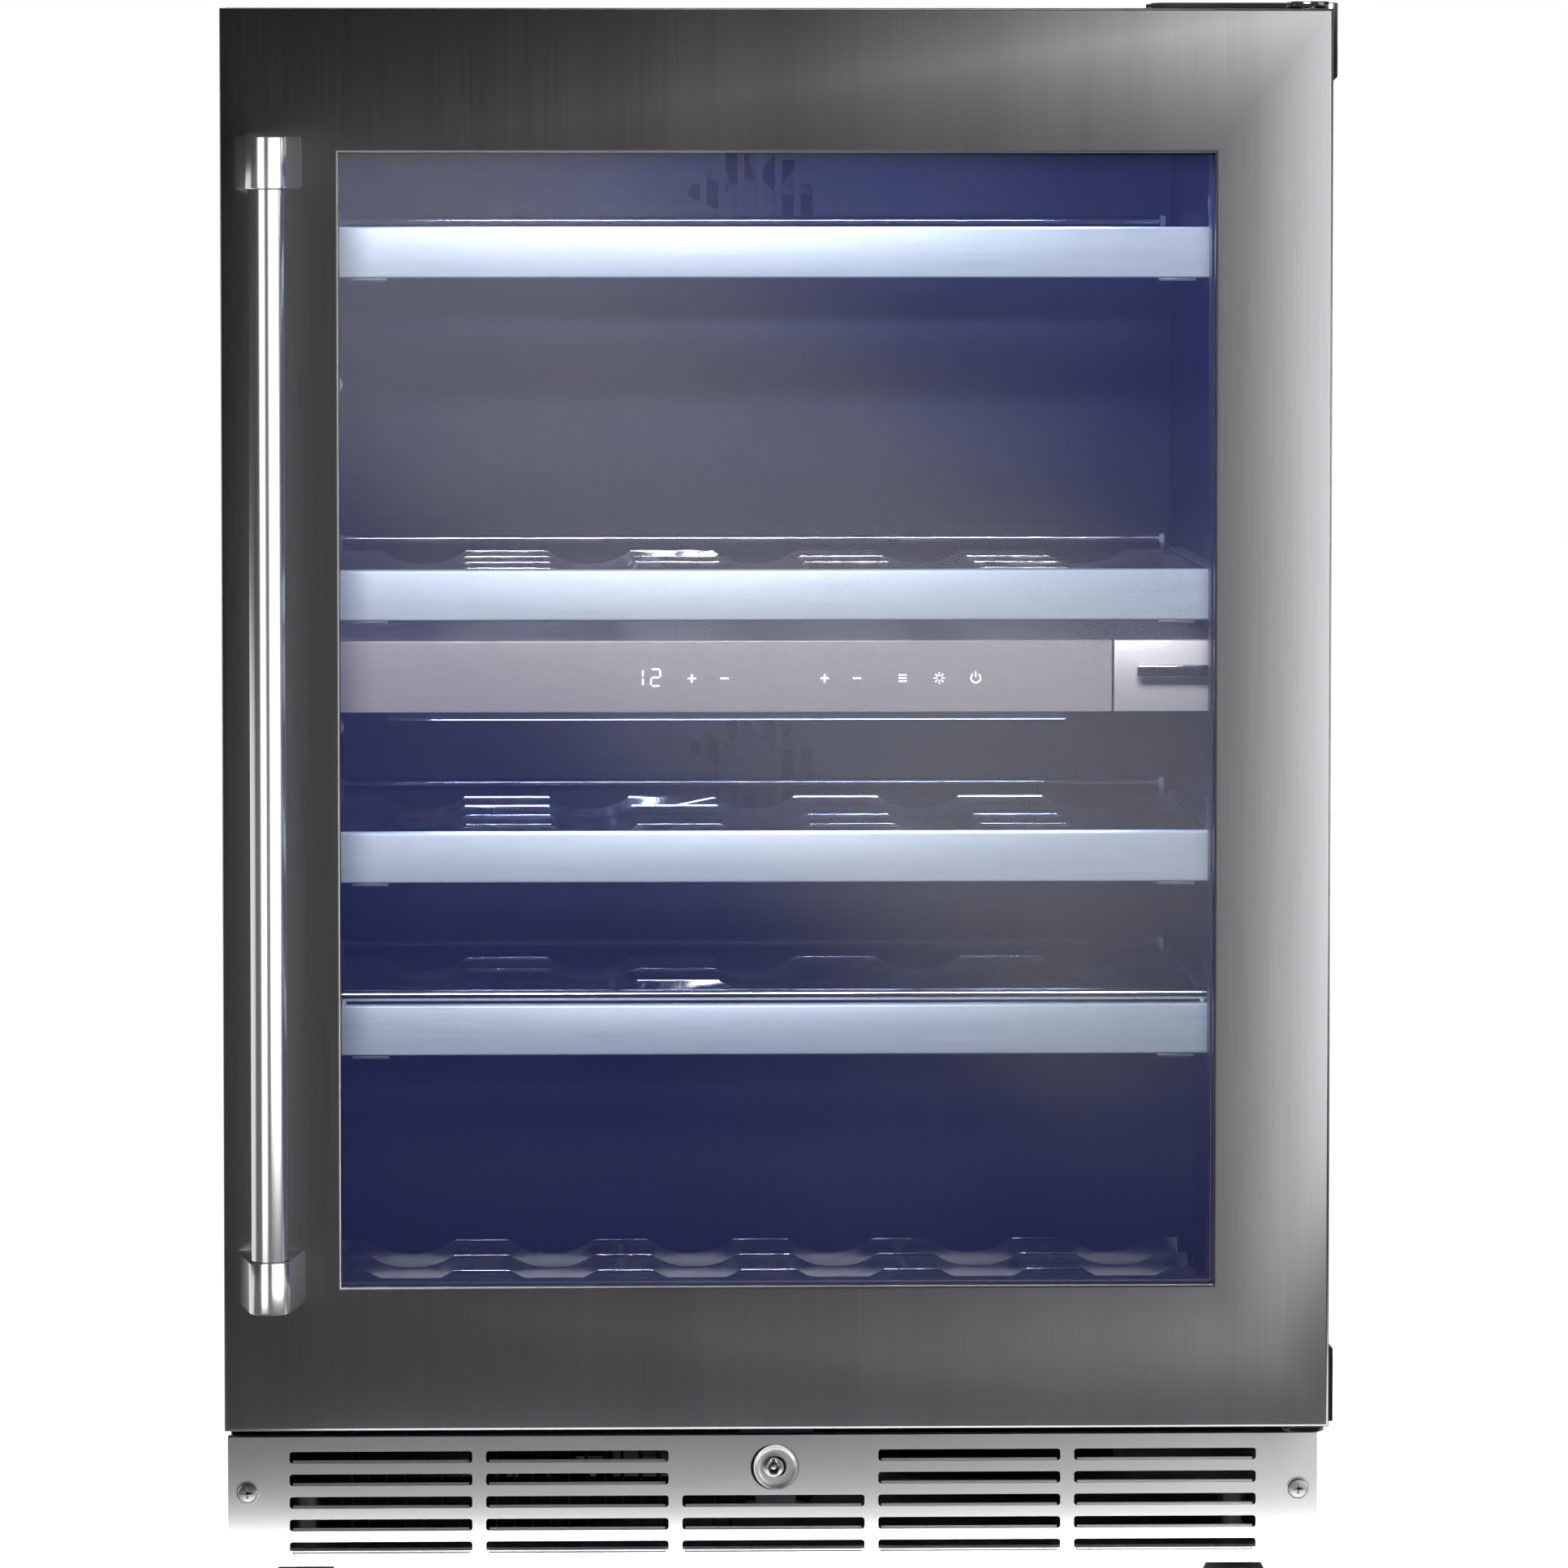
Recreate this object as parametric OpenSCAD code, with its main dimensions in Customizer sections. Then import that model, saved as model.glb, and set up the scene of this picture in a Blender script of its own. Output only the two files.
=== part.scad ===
// Built-in wine cooler: a foamed steel cabinet with two cooled zones, four
// sliding bottle shelves, a glass door in a stainless frame and a vented plinth.
// X runs to the right, Y to the back and Z up. Sizes are in millimetres.

/* [Cabinet] */
// Height of the cabinet's top above the floor
cabinet_top = 861; // [856:1:1040]
// Width of the cabinet
cabinet_w = 592; // [570:1:720]
// Depth of the cabinet behind the door seal
cabinet_d = 515; // [500:1:640]
// Height of the base tray above the floor
base_z = 20; // [18:1:22]
// Thickness of the outer sheet steel
sheet_t = 1.2; // [0.8:0.1:1.6]
// Thickness of the inner liner
liner_t = 2; // [1.5:0.1:3]
// Thickness of each insulated side wall
side_wall = 46; // [38:1:56]
// Thickness of the insulated top wall
top_wall = 56; // [46:1:60]
// Thickness of the insulated back wall
back_wall = 45; // [36:1:54]
// Thickness of the insulated floor
floor_wall = 38; // [30:1:44]
// Height of the storage floor above the ground
floor_z = 150; // [148:1:156]
// Height of the step over the compressor
step_z = 275; // [270:1:280]
// Depth of the step, from the back of the cabinet
step_d = 243; // [236:1:250]

/* [Door] */
// How far the door reaches past each side of the cabinet
door_lip = 1.5; // [0:0.1:3]
// Height of the door's lower edge above the floor
door_z = 97; // [96:1:98]
// Gap between the door and the top hinge plate
door_top_gap = 1; // [0.6:0.1:2]
// Thickness of the door without its seal
door_t = 44; // [40:1:54]
// Thickness of the pressed seal
seal_t = 8; // [7:0.5:10]
// Gap left between the seal and the cabinet
seal_gap = 0.3; // [0.2:0.1:0.6]
// Width of the side stiles
stile_w = 63; // [54:0.5:76]
// Height of the top rail
top_rail = 77; // [64:0.5:92]
// Height of the bottom rail
bottom_rail = 77.6; // [64:0.1:92]
// Thickness of the stainless skin
skin_t = 1; // [0.8:0.1:1.5]
// Depth of the skin's folded outer edge
skin_d = 30; // [28:1:32]
// Depth of the skin's folded edge at the window
window_return = 4; // [3:0.5:6]
// Thickness of each glass pane
glass_t = 4; // [3:0.5:6]
// Space between the two panes
glass_space = 12; // [8:1:12]
// How far the panes reach behind the frame
glass_lap = 10; // [8:1:14]
// Wall of the door's inner lining
lining_t = 2.5; // [2:0.1:3]

/* [Handle] */
// Overall length of the handle
handle_len = 625; // [500:1:660]
// Height of the handle's lower end above the door's lower edge
handle_rise = 69.8; // [60:0.1:90]
// Distance from the door's edge to the middle of the tube
handle_in = 25.5; // [24:0.5:30]
// How far the handle stands out from the door
handle_reach = 60; // [50:1:72]
// Radius of the tube
tube_r = 9.5; // [8:0.1:10.5]
// Radius of the end mounts round the tube
mount_r = 11; // [11:0.1:12]
// Height of each end mount
mount_h = 28; // [24:1:34]
// Width of each end mount where it meets the door
mount_foot_w = 35; // [30:1:44]

/* [Hinges] */
// Thickness of the hinge plates
hinge_t = 3; // [2.5:0.1:4]
// Distance from the door's edge to the hinge axis
hinge_in = 12; // [11:0.5:14]
// Distance from the door's front to the hinge axis
hinge_back = 18; // [17:0.5:20]
// Radius of the hinge pins
pin_r = 4; // [3:0.1:5]
// Running clearance round the hinge pins
pin_clear = 0.05; // [0.02:0.01:0.1]
// Outer radius of the door's hinge bushes
bush_r = 7; // [6.5:0.1:8]
// Length of the door's hinge bushes
bush_len = 16; // [12:1:22]
// Length of the hinge plates along the cabinet's front
hinge_len = 95; // [80:1:110]
// Length of the legs down the cabinet's side
hinge_leg = 42; // [36:1:50]

/* [Shelves] */
// Height of the top shelf's upper edge
shelf_1_top = 743; // [735:0.5:746]
// Height of the second shelf's upper edge
shelf_2_top = 557.5; // [556:0.5:580]
// Height of the third shelf's upper edge
shelf_3_top = 415; // [405:0.5:425]
// Height of the fourth shelf's upper edge
shelf_4_top = 321; // [318:0.5:330]
// Height of the metal fascia on each shelf
fascia_h = 27.5; // [24:0.5:33]
// Depth of the fascia channel
fascia_d = 12; // [10:0.5:14]
// Distance of the fascias behind the front of the cabinet
fascia_in = 12; // [12:0.5:16]
// Gap between a fascia's end and the liner
fascia_gap = 4; // [3:0.5:6]
// Length of the slides
slide_len = 370; // [320:1:376]
// Height of the slides
slide_h = 22; // [18:0.5:24]
// Clearance between the sliding members
slide_clear = 0.4; // [0.3:0.05:0.6]
// Diameter of a bottle's seat
seat_d = 84; // [76:1:90]

/* [Divider] */
// Height of the control panel's upper edge
panel_top = 519; // [510:1:522]
// Height of the control panel
panel_h = 39; // [36:1:44]
// Distance of the control panel behind the front of the cabinet
panel_in = 14; // [14:0.5:18]
// Thickness of the control panel
panel_t = 6; // [4:0.5:8]
// Width of the accessory drawer's front
drawer_w = 61; // [54:1:80]
// Depth of the accessory drawer
drawer_d = 220; // [160:1:260]

/* [Plinth] */
// Height of the plinth grille's lower edge
kick_z = 13.5; // [12:0.5:16]
// Height of the plinth grille
kick_h = 71; // [68:0.5:71]
// Distance of the plinth grille behind the door's front
kick_in = 70; // [68:1:80]
// Thickness of the plinth grille's sheet
kick_t = 1; // [0.8:0.1:1.5]
// Length of the air slots
slot_w = 99.6; // [90:0.1:102]
// Height of the air slots
slot_h = 6.4; // [4:0.1:8]
// Distance between columns of slots
slot_pitch_x = 107.1; // [106:0.1:110]
// Distance between rows of slots
slot_pitch_z = 12.4; // [11:0.1:12.5]

/* [Lock] */
// Radius of the turning lock cylinder
lock_r = 5.5; // [4.5:0.1:6]
// Height of the lock's axis
lock_z = 66.9; // [66:0.1:68]
// Radius at which the crank's pin turns
crank_r = 6; // [5:0.1:6]

/* [Machinery] */
// Radius of the compressor's shell
compressor_r = 62; // [50:1:75]
// Height of the compressor's shell
compressor_h = 155; // [130:1:158]
// Size of the square fan frames
fan_size = 80; // [70:1:80]
// Depth of the fan frames
fan_d = 25; // [20:1:25]
// Depth of the air ducts at the back
duct_d = 32; // [30:1:36]
// Radius of the feet's pads
foot_r = 18; // [15:0.5:22]
// Radius of the feet's studs
stud_r = 5; // [4:0.1:6]

/* [Hidden] */
$fn = 64;
e = 0.5;
half_w = cabinet_w / 2;
half_in = half_w - side_wall;
cab_y = door_t + seal_t;
back_y = cab_y + cabinet_d;
cavity_back = back_y - back_wall;
ceiling_z = cabinet_top - top_wall;
step_y = back_y - step_d;
compartment_y = step_y + floor_wall;
compartment_z = step_z - floor_wall;
underside_z = floor_z - floor_wall;
skirt_z = 100;
door_top = cabinet_top - door_top_gap;
door_half = half_w + door_lip;
win_half = door_half - stile_w;
win_z0 = door_z + bottom_rail;
win_z1 = door_top - top_rail;
pack_y = window_return;
pack_back = pack_y + 2 * glass_t + glass_space;
lining_half = door_half - 1.5;
lining_z0 = door_z + 1.5;
lining_z1 = door_top - 1.5;
seal_half = half_in + 12;
seal_z0 = floor_z - 12;
seal_z1 = ceiling_z + 12;
seal_w = 12;
seal_foot_w = 4;
handle_x = -door_half + handle_in;
handle_z0 = door_z + handle_rise;
handle_z1 = handle_z0 + handle_len;
tube_y = mount_r - handle_reach;
handle_screw_r = 3;
handle_screw_depth = 14;
hinge_x = door_half - hinge_in;
hinge_y = hinge_back;
hinge_y0 = cab_y + 1;
hinge_y1 = hinge_y0 + 56;
hinge_out = half_w + hinge_t;
hinge_left = hinge_out - hinge_len;
hinge_low_z = door_z - 1 - hinge_t;
cover_t = 5.5;
cover_out = hinge_out + cover_t;
csk_r = 4.8;
csk_shank = 2.4;
SHELF_TOPS = [shelf_1_top, shelf_2_top, shelf_3_top, shelf_4_top];
fascia_y = cab_y + fascia_in;
fascia_back = fascia_y + fascia_d;
fascia_t = 1.5;
rack_y0 = fascia_back;
duct_y = cavity_back - duct_d;
rack_y1 = duct_y - 16;
slide_y = fascia_back + 4;
slide_web = 1.2;
slide_depth = 7;
slide_drop = slide_h / 2 + 3;
member_out = half_in - slide_web - slide_clear;
member_in = half_in - slide_depth - 1.6;
side_bar_t = 3;
panel_y = cab_y + panel_in;
panel_z = panel_top - panel_h;
panel_right = half_in - fascia_gap - drawer_w - 1;
divider_y = panel_y + panel_t;
divider_top = panel_top - 2;
bay_x0 = panel_right + 2;
bay_x1 = half_in - 3;
pull_y = panel_y - 11;
kick_half = door_half;
kick_back = kick_in + kick_t;
kick_fold = 10;
toe_y = kick_in + kick_fold + 2;
kick_screw_x = kick_half - 10.5;
kick_screw_z = 54;
tray_t = 1.5;
tray_y0 = toe_y + 2;
tray_floor = base_z + tray_t;
lock_flange_r = 12.5;
lock_sleeve_r = 9;
lock_back = kick_in + 28;
crank_t = 3;
bolt_y = lock_back + crank_t + 1;
bolt_t = 3;
crank_pin_r = 2;
bolt_rest_top = door_z - 3 - 4;
strike_t = 3;
foot_x = half_w - 40;
foot_y0 = toe_y + 40;
foot_y1 = back_y - 45;
foot_h = 10;
sleeve_h = 26;
stud_len = 38;
comp_x = 120;
comp_y = back_y - 105;
comp_z = tray_floor + 14;
cond_x0 = -foot_x + stud_r + 20;
cond_x1 = -20;
cond_y0 = foot_y0 - 12;
cond_y1 = cond_y0 + 100;
cond_h = 80;
fan_hub_r = 17;
fan_axle_r = 1.5;
cond_fan_x = (cond_x0 + cond_x1) / 2;
cond_fan_y = cond_y1 + 6;
cond_fan_z = tray_floor + fan_size / 2;
duct_wall = 2.5;
duct_fan_y = duct_y + duct_wall;
upper_z0 = divider_top + 6;
upper_z1 = ceiling_z - 4;
lower_z0 = step_z + 4;
lower_z1 = panel_z - 6;
fan_drop = fan_size / 2 + 10;
coil_h = 75;
bracket_t = 2;
bracket_w = 120;
bracket_hole_r = 3;
bracket_spacing = 100;
bracket_z = cabinet_top - 30;
inlet_w = 50;
inlet_h = 30;
inlet_x = -200;
inlet_z = 62;
centre_x = (cover_out - door_half) / 2;
centre_y = (back_y + bracket_t - handle_reach) / 2;
steel = [0.62, 0.63, 0.64];
dark = [0.12, 0.12, 0.13];
black = [0.05, 0.05, 0.05];

// Moves the model so that its origin is the middle of its footprint.
module placed() {
    translate([-centre_x, -centre_y, 0]) children();
}

// A block between two corners.
module block(lo, hi) {
    translate(lo) cube(hi - lo);
}

// A cylinder along Y that starts at y0.
module rod_y(x, y0, z, r, len) {
    translate([x, y0, z]) rotate([-90, 0, 0]) cylinder(r = r, h = len);
}

// A cylinder along X that starts at x0.
module rod_x(x0, y, z, r, len) {
    translate([x0, y, z]) rotate([0, 90, 0]) cylinder(r = r, h = len);
}

// An outline in Y and Z drawn out along X, centred on the cabinet.
module along_x(w, points) {
    rotate([90, 0, 90]) linear_extrude(w, center = true) polygon(points);
}

// A window frame standing in the XZ plane: outer half width and heights, then inner.
module ring_xz(y0, y1, out_half, out_z0, out_z1, in_half, in_z0, in_z1) {
    difference() {
        block([-out_half, y0, out_z0], [out_half, y1, out_z1]);
        block([-in_half, y0 - e, in_z0], [in_half, y1 + e, in_z1]);
    }
}

// The storage space's outline, grown by g on every side but the front.
function cavity_outline(g, front) = [
    [front, floor_z - g], [step_y + g, floor_z - g],
    [step_y + g, step_z - g], [cavity_back + g, step_z - g],
    [cavity_back + g, ceiling_z + g], [front, ceiling_z + g]
];

// ---- Cabinet ----

module outer_wrap() {
    color(black) difference() {
        along_x(cabinet_w, [
            [cab_y, skirt_z], [toe_y, skirt_z], [toe_y, base_z],
            [back_y, base_z], [back_y, cabinet_top], [cab_y, cabinet_top]
        ]);
        block([-half_w + sheet_t, cab_y - e, base_z - e],
              [half_w - sheet_t, back_y + e, cabinet_top - sheet_t]);
        hinge_screw_holes();
    }
}

module back_panel() {
    color(dark) difference() {
        block([-half_w + sheet_t, back_y - sheet_t, compartment_z],
              [half_w - sheet_t, back_y, cabinet_top - sheet_t]);
        back_screw_shanks();
    }
}

module inner_liner() {
    color([0.10, 0.11, 0.14]) difference() {
        along_x(2 * (half_in + liner_t), cavity_outline(liner_t, cab_y));
        along_x(2 * half_in, cavity_outline(0, cab_y - e));
    }
}

module foam_insulation() {
    color([0.93, 0.88, 0.70]) difference() {
        along_x(cabinet_w - 2 * sheet_t, [
            [cab_y + sheet_t, underside_z], [compartment_y, underside_z],
            [compartment_y, compartment_z], [back_y - sheet_t, compartment_z],
            [back_y - sheet_t, cabinet_top - sheet_t],
            [cab_y + sheet_t, cabinet_top - sheet_t]
        ]);
        along_x(2 * (half_in + liner_t), cavity_outline(liner_t, cab_y));
    }
}

module front_frame() {
    color(black) difference() {
        block([-half_w + sheet_t, cab_y, skirt_z],
              [half_w - sheet_t, cab_y + sheet_t, cabinet_top - sheet_t]);
        along_x(2 * (half_in + liner_t), cavity_outline(liner_t, cab_y - e));
    }
}

module compartment_panel() {
    y0 = cab_y + sheet_t;
    y1 = back_y - sheet_t;
    color(steel) along_x(cabinet_w - 2 * sheet_t, [
        [y0, underside_z - sheet_t], [compartment_y + sheet_t, underside_z - sheet_t],
        [compartment_y + sheet_t, compartment_z - sheet_t], [y1, compartment_z - sheet_t],
        [y1, compartment_z], [compartment_y, compartment_z],
        [compartment_y, underside_z], [y0, underside_z]
    ]);
}

module base_tray() {
    x = half_w - sheet_t;
    color(steel) difference() {
        union() {
            block([-x, tray_y0, base_z], [x, back_y - sheet_t, tray_floor]);
            for (s = [-1, 1]) {
                block([min(s * x, s * (x - tray_t)), tray_y0, base_z],
                      [max(s * x, s * (x - tray_t)), back_y - sheet_t, base_z + 24]);
                // ears that carry the plinth grille
                translate([s * kick_screw_x, 0, 0])
                    block([-8, kick_back, kick_screw_z - 10],
                          [8, kick_back + tray_t, kick_screw_z + 10]);
                block([min(s * (x - 20), s * (x - 4)), kick_back + tray_t, kick_screw_z - 10],
                      [max(s * (x - 20), s * (x - 4)), tray_y0 + 12, kick_screw_z - 8]);
                block([min(s * (x - 20), s * (x - 4)), tray_y0 + 10, base_z],
                      [max(s * (x - 20), s * (x - 4)), tray_y0 + 12, kick_screw_z - 8]);
                for (y = [foot_y0, foot_y1])
                    translate([s * foot_x, y, base_z]) cylinder(r = stud_r + 4, h = sleeve_h);
            }
        }
        for (s = [-1, 1]) {
            for (y = [foot_y0, foot_y1])
                translate([s * foot_x, y, base_z - e])
                    cylinder(r = stud_r + pin_clear, h = sleeve_h + 2 * e);
            rod_y(s * kick_screw_x, kick_in - e, kick_screw_z, 2, kick_fold);
        }
    }
}

module machine_cover() {
    color(dark) difference() {
        block([-half_w + sheet_t, back_y - sheet_t, base_z],
              [half_w - sheet_t, back_y, compartment_z]);
        for (column = [-1, 0, 1], row = [0:6])
            translate([column * 150 + 20, 0, base_z + 100 + row * 14])
                block([-55, back_y - sheet_t - e, 0], [55, back_y + e, 5]);
        block([inlet_x, back_y - sheet_t - e, inlet_z],
              [inlet_x + inlet_w, back_y + e, inlet_z + inlet_h]);
    }
}

// Screws along the top and the sides of the back panel.
module at_back_screws() {
    for (x = [-1, 0, 1], z = [compartment_z + 16, cabinet_top - 14])
        translate([x * (half_w - 18), back_y, z]) rotate([-90, 0, 0]) children();
}

module back_screw_shanks() {
    at_back_screws() translate([0, 0, -sheet_t - e]) cylinder(r = 2, h = sheet_t + 2 * e);
}

// A countersunk screw, its head's face at the origin, pointing down.
module countersunk(len) {
    translate([0, 0, -csk_shank]) cylinder(r1 = csk_shank, r2 = csk_r, h = csk_shank);
    translate([0, 0, -len]) cylinder(r = csk_shank, h = len - csk_shank + 0.01);
}

// Places one screw at each hole of the two hinge brackets.
module at_hinge_screws() {
    for (x = [hinge_left + 24, hinge_out - 28])
        translate([x, hinge_y0 + 34, cabinet_top + hinge_t]) children();
    for (z = [cabinet_top - hinge_leg + 14, hinge_low_z + hinge_leg - 14], y = [14, 42])
        translate([hinge_out, hinge_y0 + y, z]) rotate([0, 90, 0]) children();
}

module hinge_screw_holes() {
    at_hinge_screws() countersunk(hinge_t + sheet_t + e);
}

module cabinet_screws() {
    color(black) {
        at_hinge_screws() countersunk(hinge_t + sheet_t);
        at_back_screws() {
            cylinder(r = 4, h = 2);
            translate([0, 0, -sheet_t]) cylinder(r = 2, h = sheet_t);
        }
    }
}

// ---- Hinges ----

// The flat of a hinge bracket: a plate back to y1 with a nose over the door.
module hinge_plate(y1) {
    linear_extrude(hinge_t) difference() {
        union() {
            polygon([
                [hinge_left + 8, hinge_y0], [hinge_left, hinge_y0 + 8],
                [hinge_left, y1 - 8], [hinge_left + 8, y1],
                [hinge_out, y1], [hinge_out, hinge_y0]
            ]);
            translate([hinge_x - 11, hinge_y]) square([22, hinge_y0 - hinge_y + e]);
            translate([hinge_x, hinge_y]) circle(r = 11);
        }
        translate([hinge_x, hinge_y]) circle(r = pin_r);
    }
}

// The lower plate stops in front of the cabinet's side, above the plinth.
module hinge_brackets() {
    leg_top = cabinet_top + hinge_t;
    color(black) difference() {
        union() {
            translate([0, 0, cabinet_top]) hinge_plate(hinge_y1);
            block([half_w, hinge_y0, cabinet_top - hinge_leg], [hinge_out, hinge_y1, leg_top]);
            translate([0, 0, hinge_low_z]) hinge_plate(toe_y - 1);
            block([half_w, hinge_y0, hinge_low_z],
                  [hinge_out, hinge_y1, hinge_low_z + hinge_leg]);
        }
        hinge_screw_holes();
    }
}

module hinge_pins() {
    color(steel) {
        translate([hinge_x, hinge_y, door_top - bush_len + 2])
            cylinder(r = pin_r, h = cabinet_top + hinge_t - door_top + bush_len - 2);
        translate([hinge_x, hinge_y, hinge_low_z])
            cylinder(r = pin_r, h = door_z - hinge_low_z + bush_len - 2);
    }
}

// Covers over the brackets' legs, cut at a slant at the free end.
module leg_cover() {
    rotate([90, 0, 0]) linear_extrude(hinge_y1 - hinge_y0, center = true)
        polygon([[0, 0], [cover_t, 0], [cover_t, hinge_leg - 2], [0, hinge_leg + 3]]);
}

module hinge_covers() {
    mid = (hinge_y0 + hinge_y1) / 2;
    color(black) {
        translate([hinge_out, mid, hinge_low_z]) leg_cover();
        translate([hinge_out, mid, cabinet_top + hinge_t]) mirror([0, 0, 1]) leg_cover();
    }
}

module hinge_bushes() {
    color([0.85, 0.85, 0.82]) for (z = [door_z, door_top - bush_len])
        translate([hinge_x, hinge_y, z]) difference() {
            cylinder(r = bush_r, h = bush_len);
            translate([0, 0, -e]) cylinder(r = pin_r + pin_clear, h = bush_len + 2 * e);
        }
}

module bush_pockets() {
    for (z = [door_z - e, door_top - bush_len])
        translate([hinge_x, hinge_y, z]) cylinder(r = bush_r, h = bush_len + e);
}

// ---- Outside fittings ----

module anti_tip_bracket() {
    color(steel) difference() {
        block([-bracket_w / 2, back_y, bracket_z - 12],
              [bracket_w / 2, back_y + bracket_t, bracket_z + 12]);
        for (s = [-1, 1])
            rod_y(s * bracket_spacing / 2, back_y - e, bracket_z, bracket_hole_r, bracket_t + 2 * e);
    }
}

// An inlet for a detachable lead: a block with three blade holes in a recess.
module power_inlet() {
    cx = inlet_x + inlet_w / 2;
    cz = inlet_z + inlet_h / 2;
    color(black) difference() {
        block([inlet_x, back_y - 26, inlet_z], [inlet_x + inlet_w, back_y, inlet_z + inlet_h]);
        block([cx - 12, back_y - 16, cz - 8], [cx + 12, back_y + e, cz + 8]);
    }
    color(steel) for (x = [-7, 0, 7])
        block([cx + x - 1, back_y - 16, cz - 3], [cx + x + 1, back_y - 4, cz + 3]);
}

// ---- Plinth and lock ----

// One opening of the plinth grille, with its lower edge at z.
module slot_cut(column, z) {
    translate([column * slot_pitch_x, kick_in - e, z])
        block([-slot_w / 2, 0, 0], [slot_w / 2, kick_t + 2 * e, slot_h]);
}

// The lip folded inwards under one opening.
module slot_lip(column, z) {
    translate([column * slot_pitch_x, kick_back, z - kick_t])
        block([-slot_w / 2, -kick_t / 2, 0], [slot_w / 2, kick_fold - kick_t - 1, kick_t]);
}

module at_slots(column) {
    top_row = kick_z + kick_h - 8.1 - slot_h;
    first = column == 0 ? 2 : 0;
    for (row = [first:4]) let (z = top_row - row * slot_pitch_z) translate([0, 0, z]) children();
}

module toe_kick_grille() {
    top = kick_z + kick_h;
    color([0.80, 0.80, 0.80]) difference() {
        union() {
            difference() {
                block([-kick_half, kick_in, kick_z], [kick_half, kick_in + kick_fold, top]);
                block([-kick_half + kick_t, kick_back, kick_z + kick_t],
                      [kick_half - kick_t, kick_in + kick_fold + e, top - kick_t]);
            }
            for (column = [-2:2]) at_slots(column) slot_lip(column, 0);
        }
        for (column = [-2:2]) at_slots(column) slot_cut(column, 0);
        for (s = [-1, 1]) rod_y(s * kick_screw_x, kick_in - e, kick_screw_z, 2, kick_t + 2 * e);
        rod_y(0, kick_in - e, lock_z, lock_flange_r, kick_t + 2 * e);
    }
}

module kick_screws() {
    color(steel) for (s = [-1, 1]) difference() {
        union() {
            rod_y(s * kick_screw_x, kick_in - 2.4, kick_screw_z, 5.2, 2.4);
            rod_y(s * kick_screw_x, kick_in, kick_screw_z, 2, kick_t + tray_t + 4);
        }
        for (a = [0, 90]) translate([s * kick_screw_x, kick_in - 2.4, kick_screw_z])
            rotate([0, a, 0]) cube([5, 2.4, 1], center = true);
    }
}

// A dished flange on a sleeve, with a guide for the bolt behind it.
module lock_housing() {
    guide_z = lock_z - 26;
    color(steel) {
        translate([0, kick_in, lock_z]) rotate([-90, 0, 0]) rotate_extrude() polygon([
            [lock_r + pin_clear, 2], [lock_flange_r - 2, 0], [lock_flange_r, 0],
            [lock_flange_r, 3], [lock_sleeve_r, 3],
            [lock_sleeve_r, lock_back - kick_in], [lock_r + pin_clear, lock_back - kick_in]
        ]);
        // the bracket that carries the guide, in front of the crank's sweep
        block([-9, lock_back - 3, guide_z], [13, lock_back, lock_z - 7]);
        difference() {
            block([-9, lock_back - 3, guide_z], [13, bolt_y + bolt_t + 1.8, guide_z + 11]);
            block([-4.4, bolt_y - 0.3, guide_z - e],
                  [11.4, bolt_y + bolt_t + 0.3, guide_z + 11 + e]);
        }
    }
}

// The plug that the key turns, with a crank and a pin at its back end.
module lock_cylinder() {
    color([0.55, 0.55, 0.56]) {
        difference() {
            union() {
                rod_y(0, kick_in - 0.5, lock_z, lock_r, lock_back - kick_in + 0.5 + e);
                translate([0, lock_back + e, lock_z]) rotate([0, 45, 0])
                    block([-3, 0, -3], [crank_r + 3, crank_t - e, 3]);
                translate([0, lock_back + crank_t - e, lock_z]) rotate([0, 45, 0])
                    rod_y(crank_r, 0, 0, crank_pin_r, bolt_t + 2.5);
            }
            translate([0, kick_in - 1, lock_z]) rotate([-90, 0, 0]) cylinder(r = 3.3, h = 6, $fn = 6);
            block([-0.9, kick_in - 1, lock_z + 2.5], [0.9, kick_in + 5, lock_z + 4.6]);
        }
        rod_y(0, kick_in + 0.5, lock_z, 1.6, 6);
    }
}

// A flat bolt with a slot for the crank's pin, sliding up into the strike.
module lock_bolt() {
    slot_half = crank_pin_r + 0.4;
    pin_x0 = crank_r * cos(45) - slot_half;
    pin_x1 = crank_r + slot_half;
    pin_z = lock_z - crank_r * sin(45);
    color(steel) difference() {
        block([-4, bolt_y, lock_z - 30], [11, bolt_y + bolt_t, bolt_rest_top]);
        block([pin_x0, bolt_y - e, pin_z - slot_half],
              [pin_x1, bolt_y + bolt_t + e, pin_z + slot_half]);
    }
}

// A tongue under the door that reaches back over the bolt.
module lock_strike() {
    color(steel) difference() {
        block([-20, 10, door_z - strike_t], [20, bolt_y + bolt_t + 10, door_z]);
        block([-5.5, bolt_y - 1.5, door_z - strike_t - e],
              [12.5, bolt_y + bolt_t + 1.5, door_z + e]);
    }
}

// ---- Machinery ----

module levelling_feet() {
    color(dark) for (x = [-foot_x, foot_x], y = [foot_y0, foot_y1]) translate([x, y, 0]) {
        cylinder(r1 = foot_r, r2 = foot_r - 3, h = foot_h - 4);
        translate([0, 0, foot_h - 4]) cylinder(r = stud_r + 4, h = 4, $fn = 6);
        translate([0, 0, foot_h]) cylinder(r = stud_r, h = stud_len);
    }
}

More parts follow.
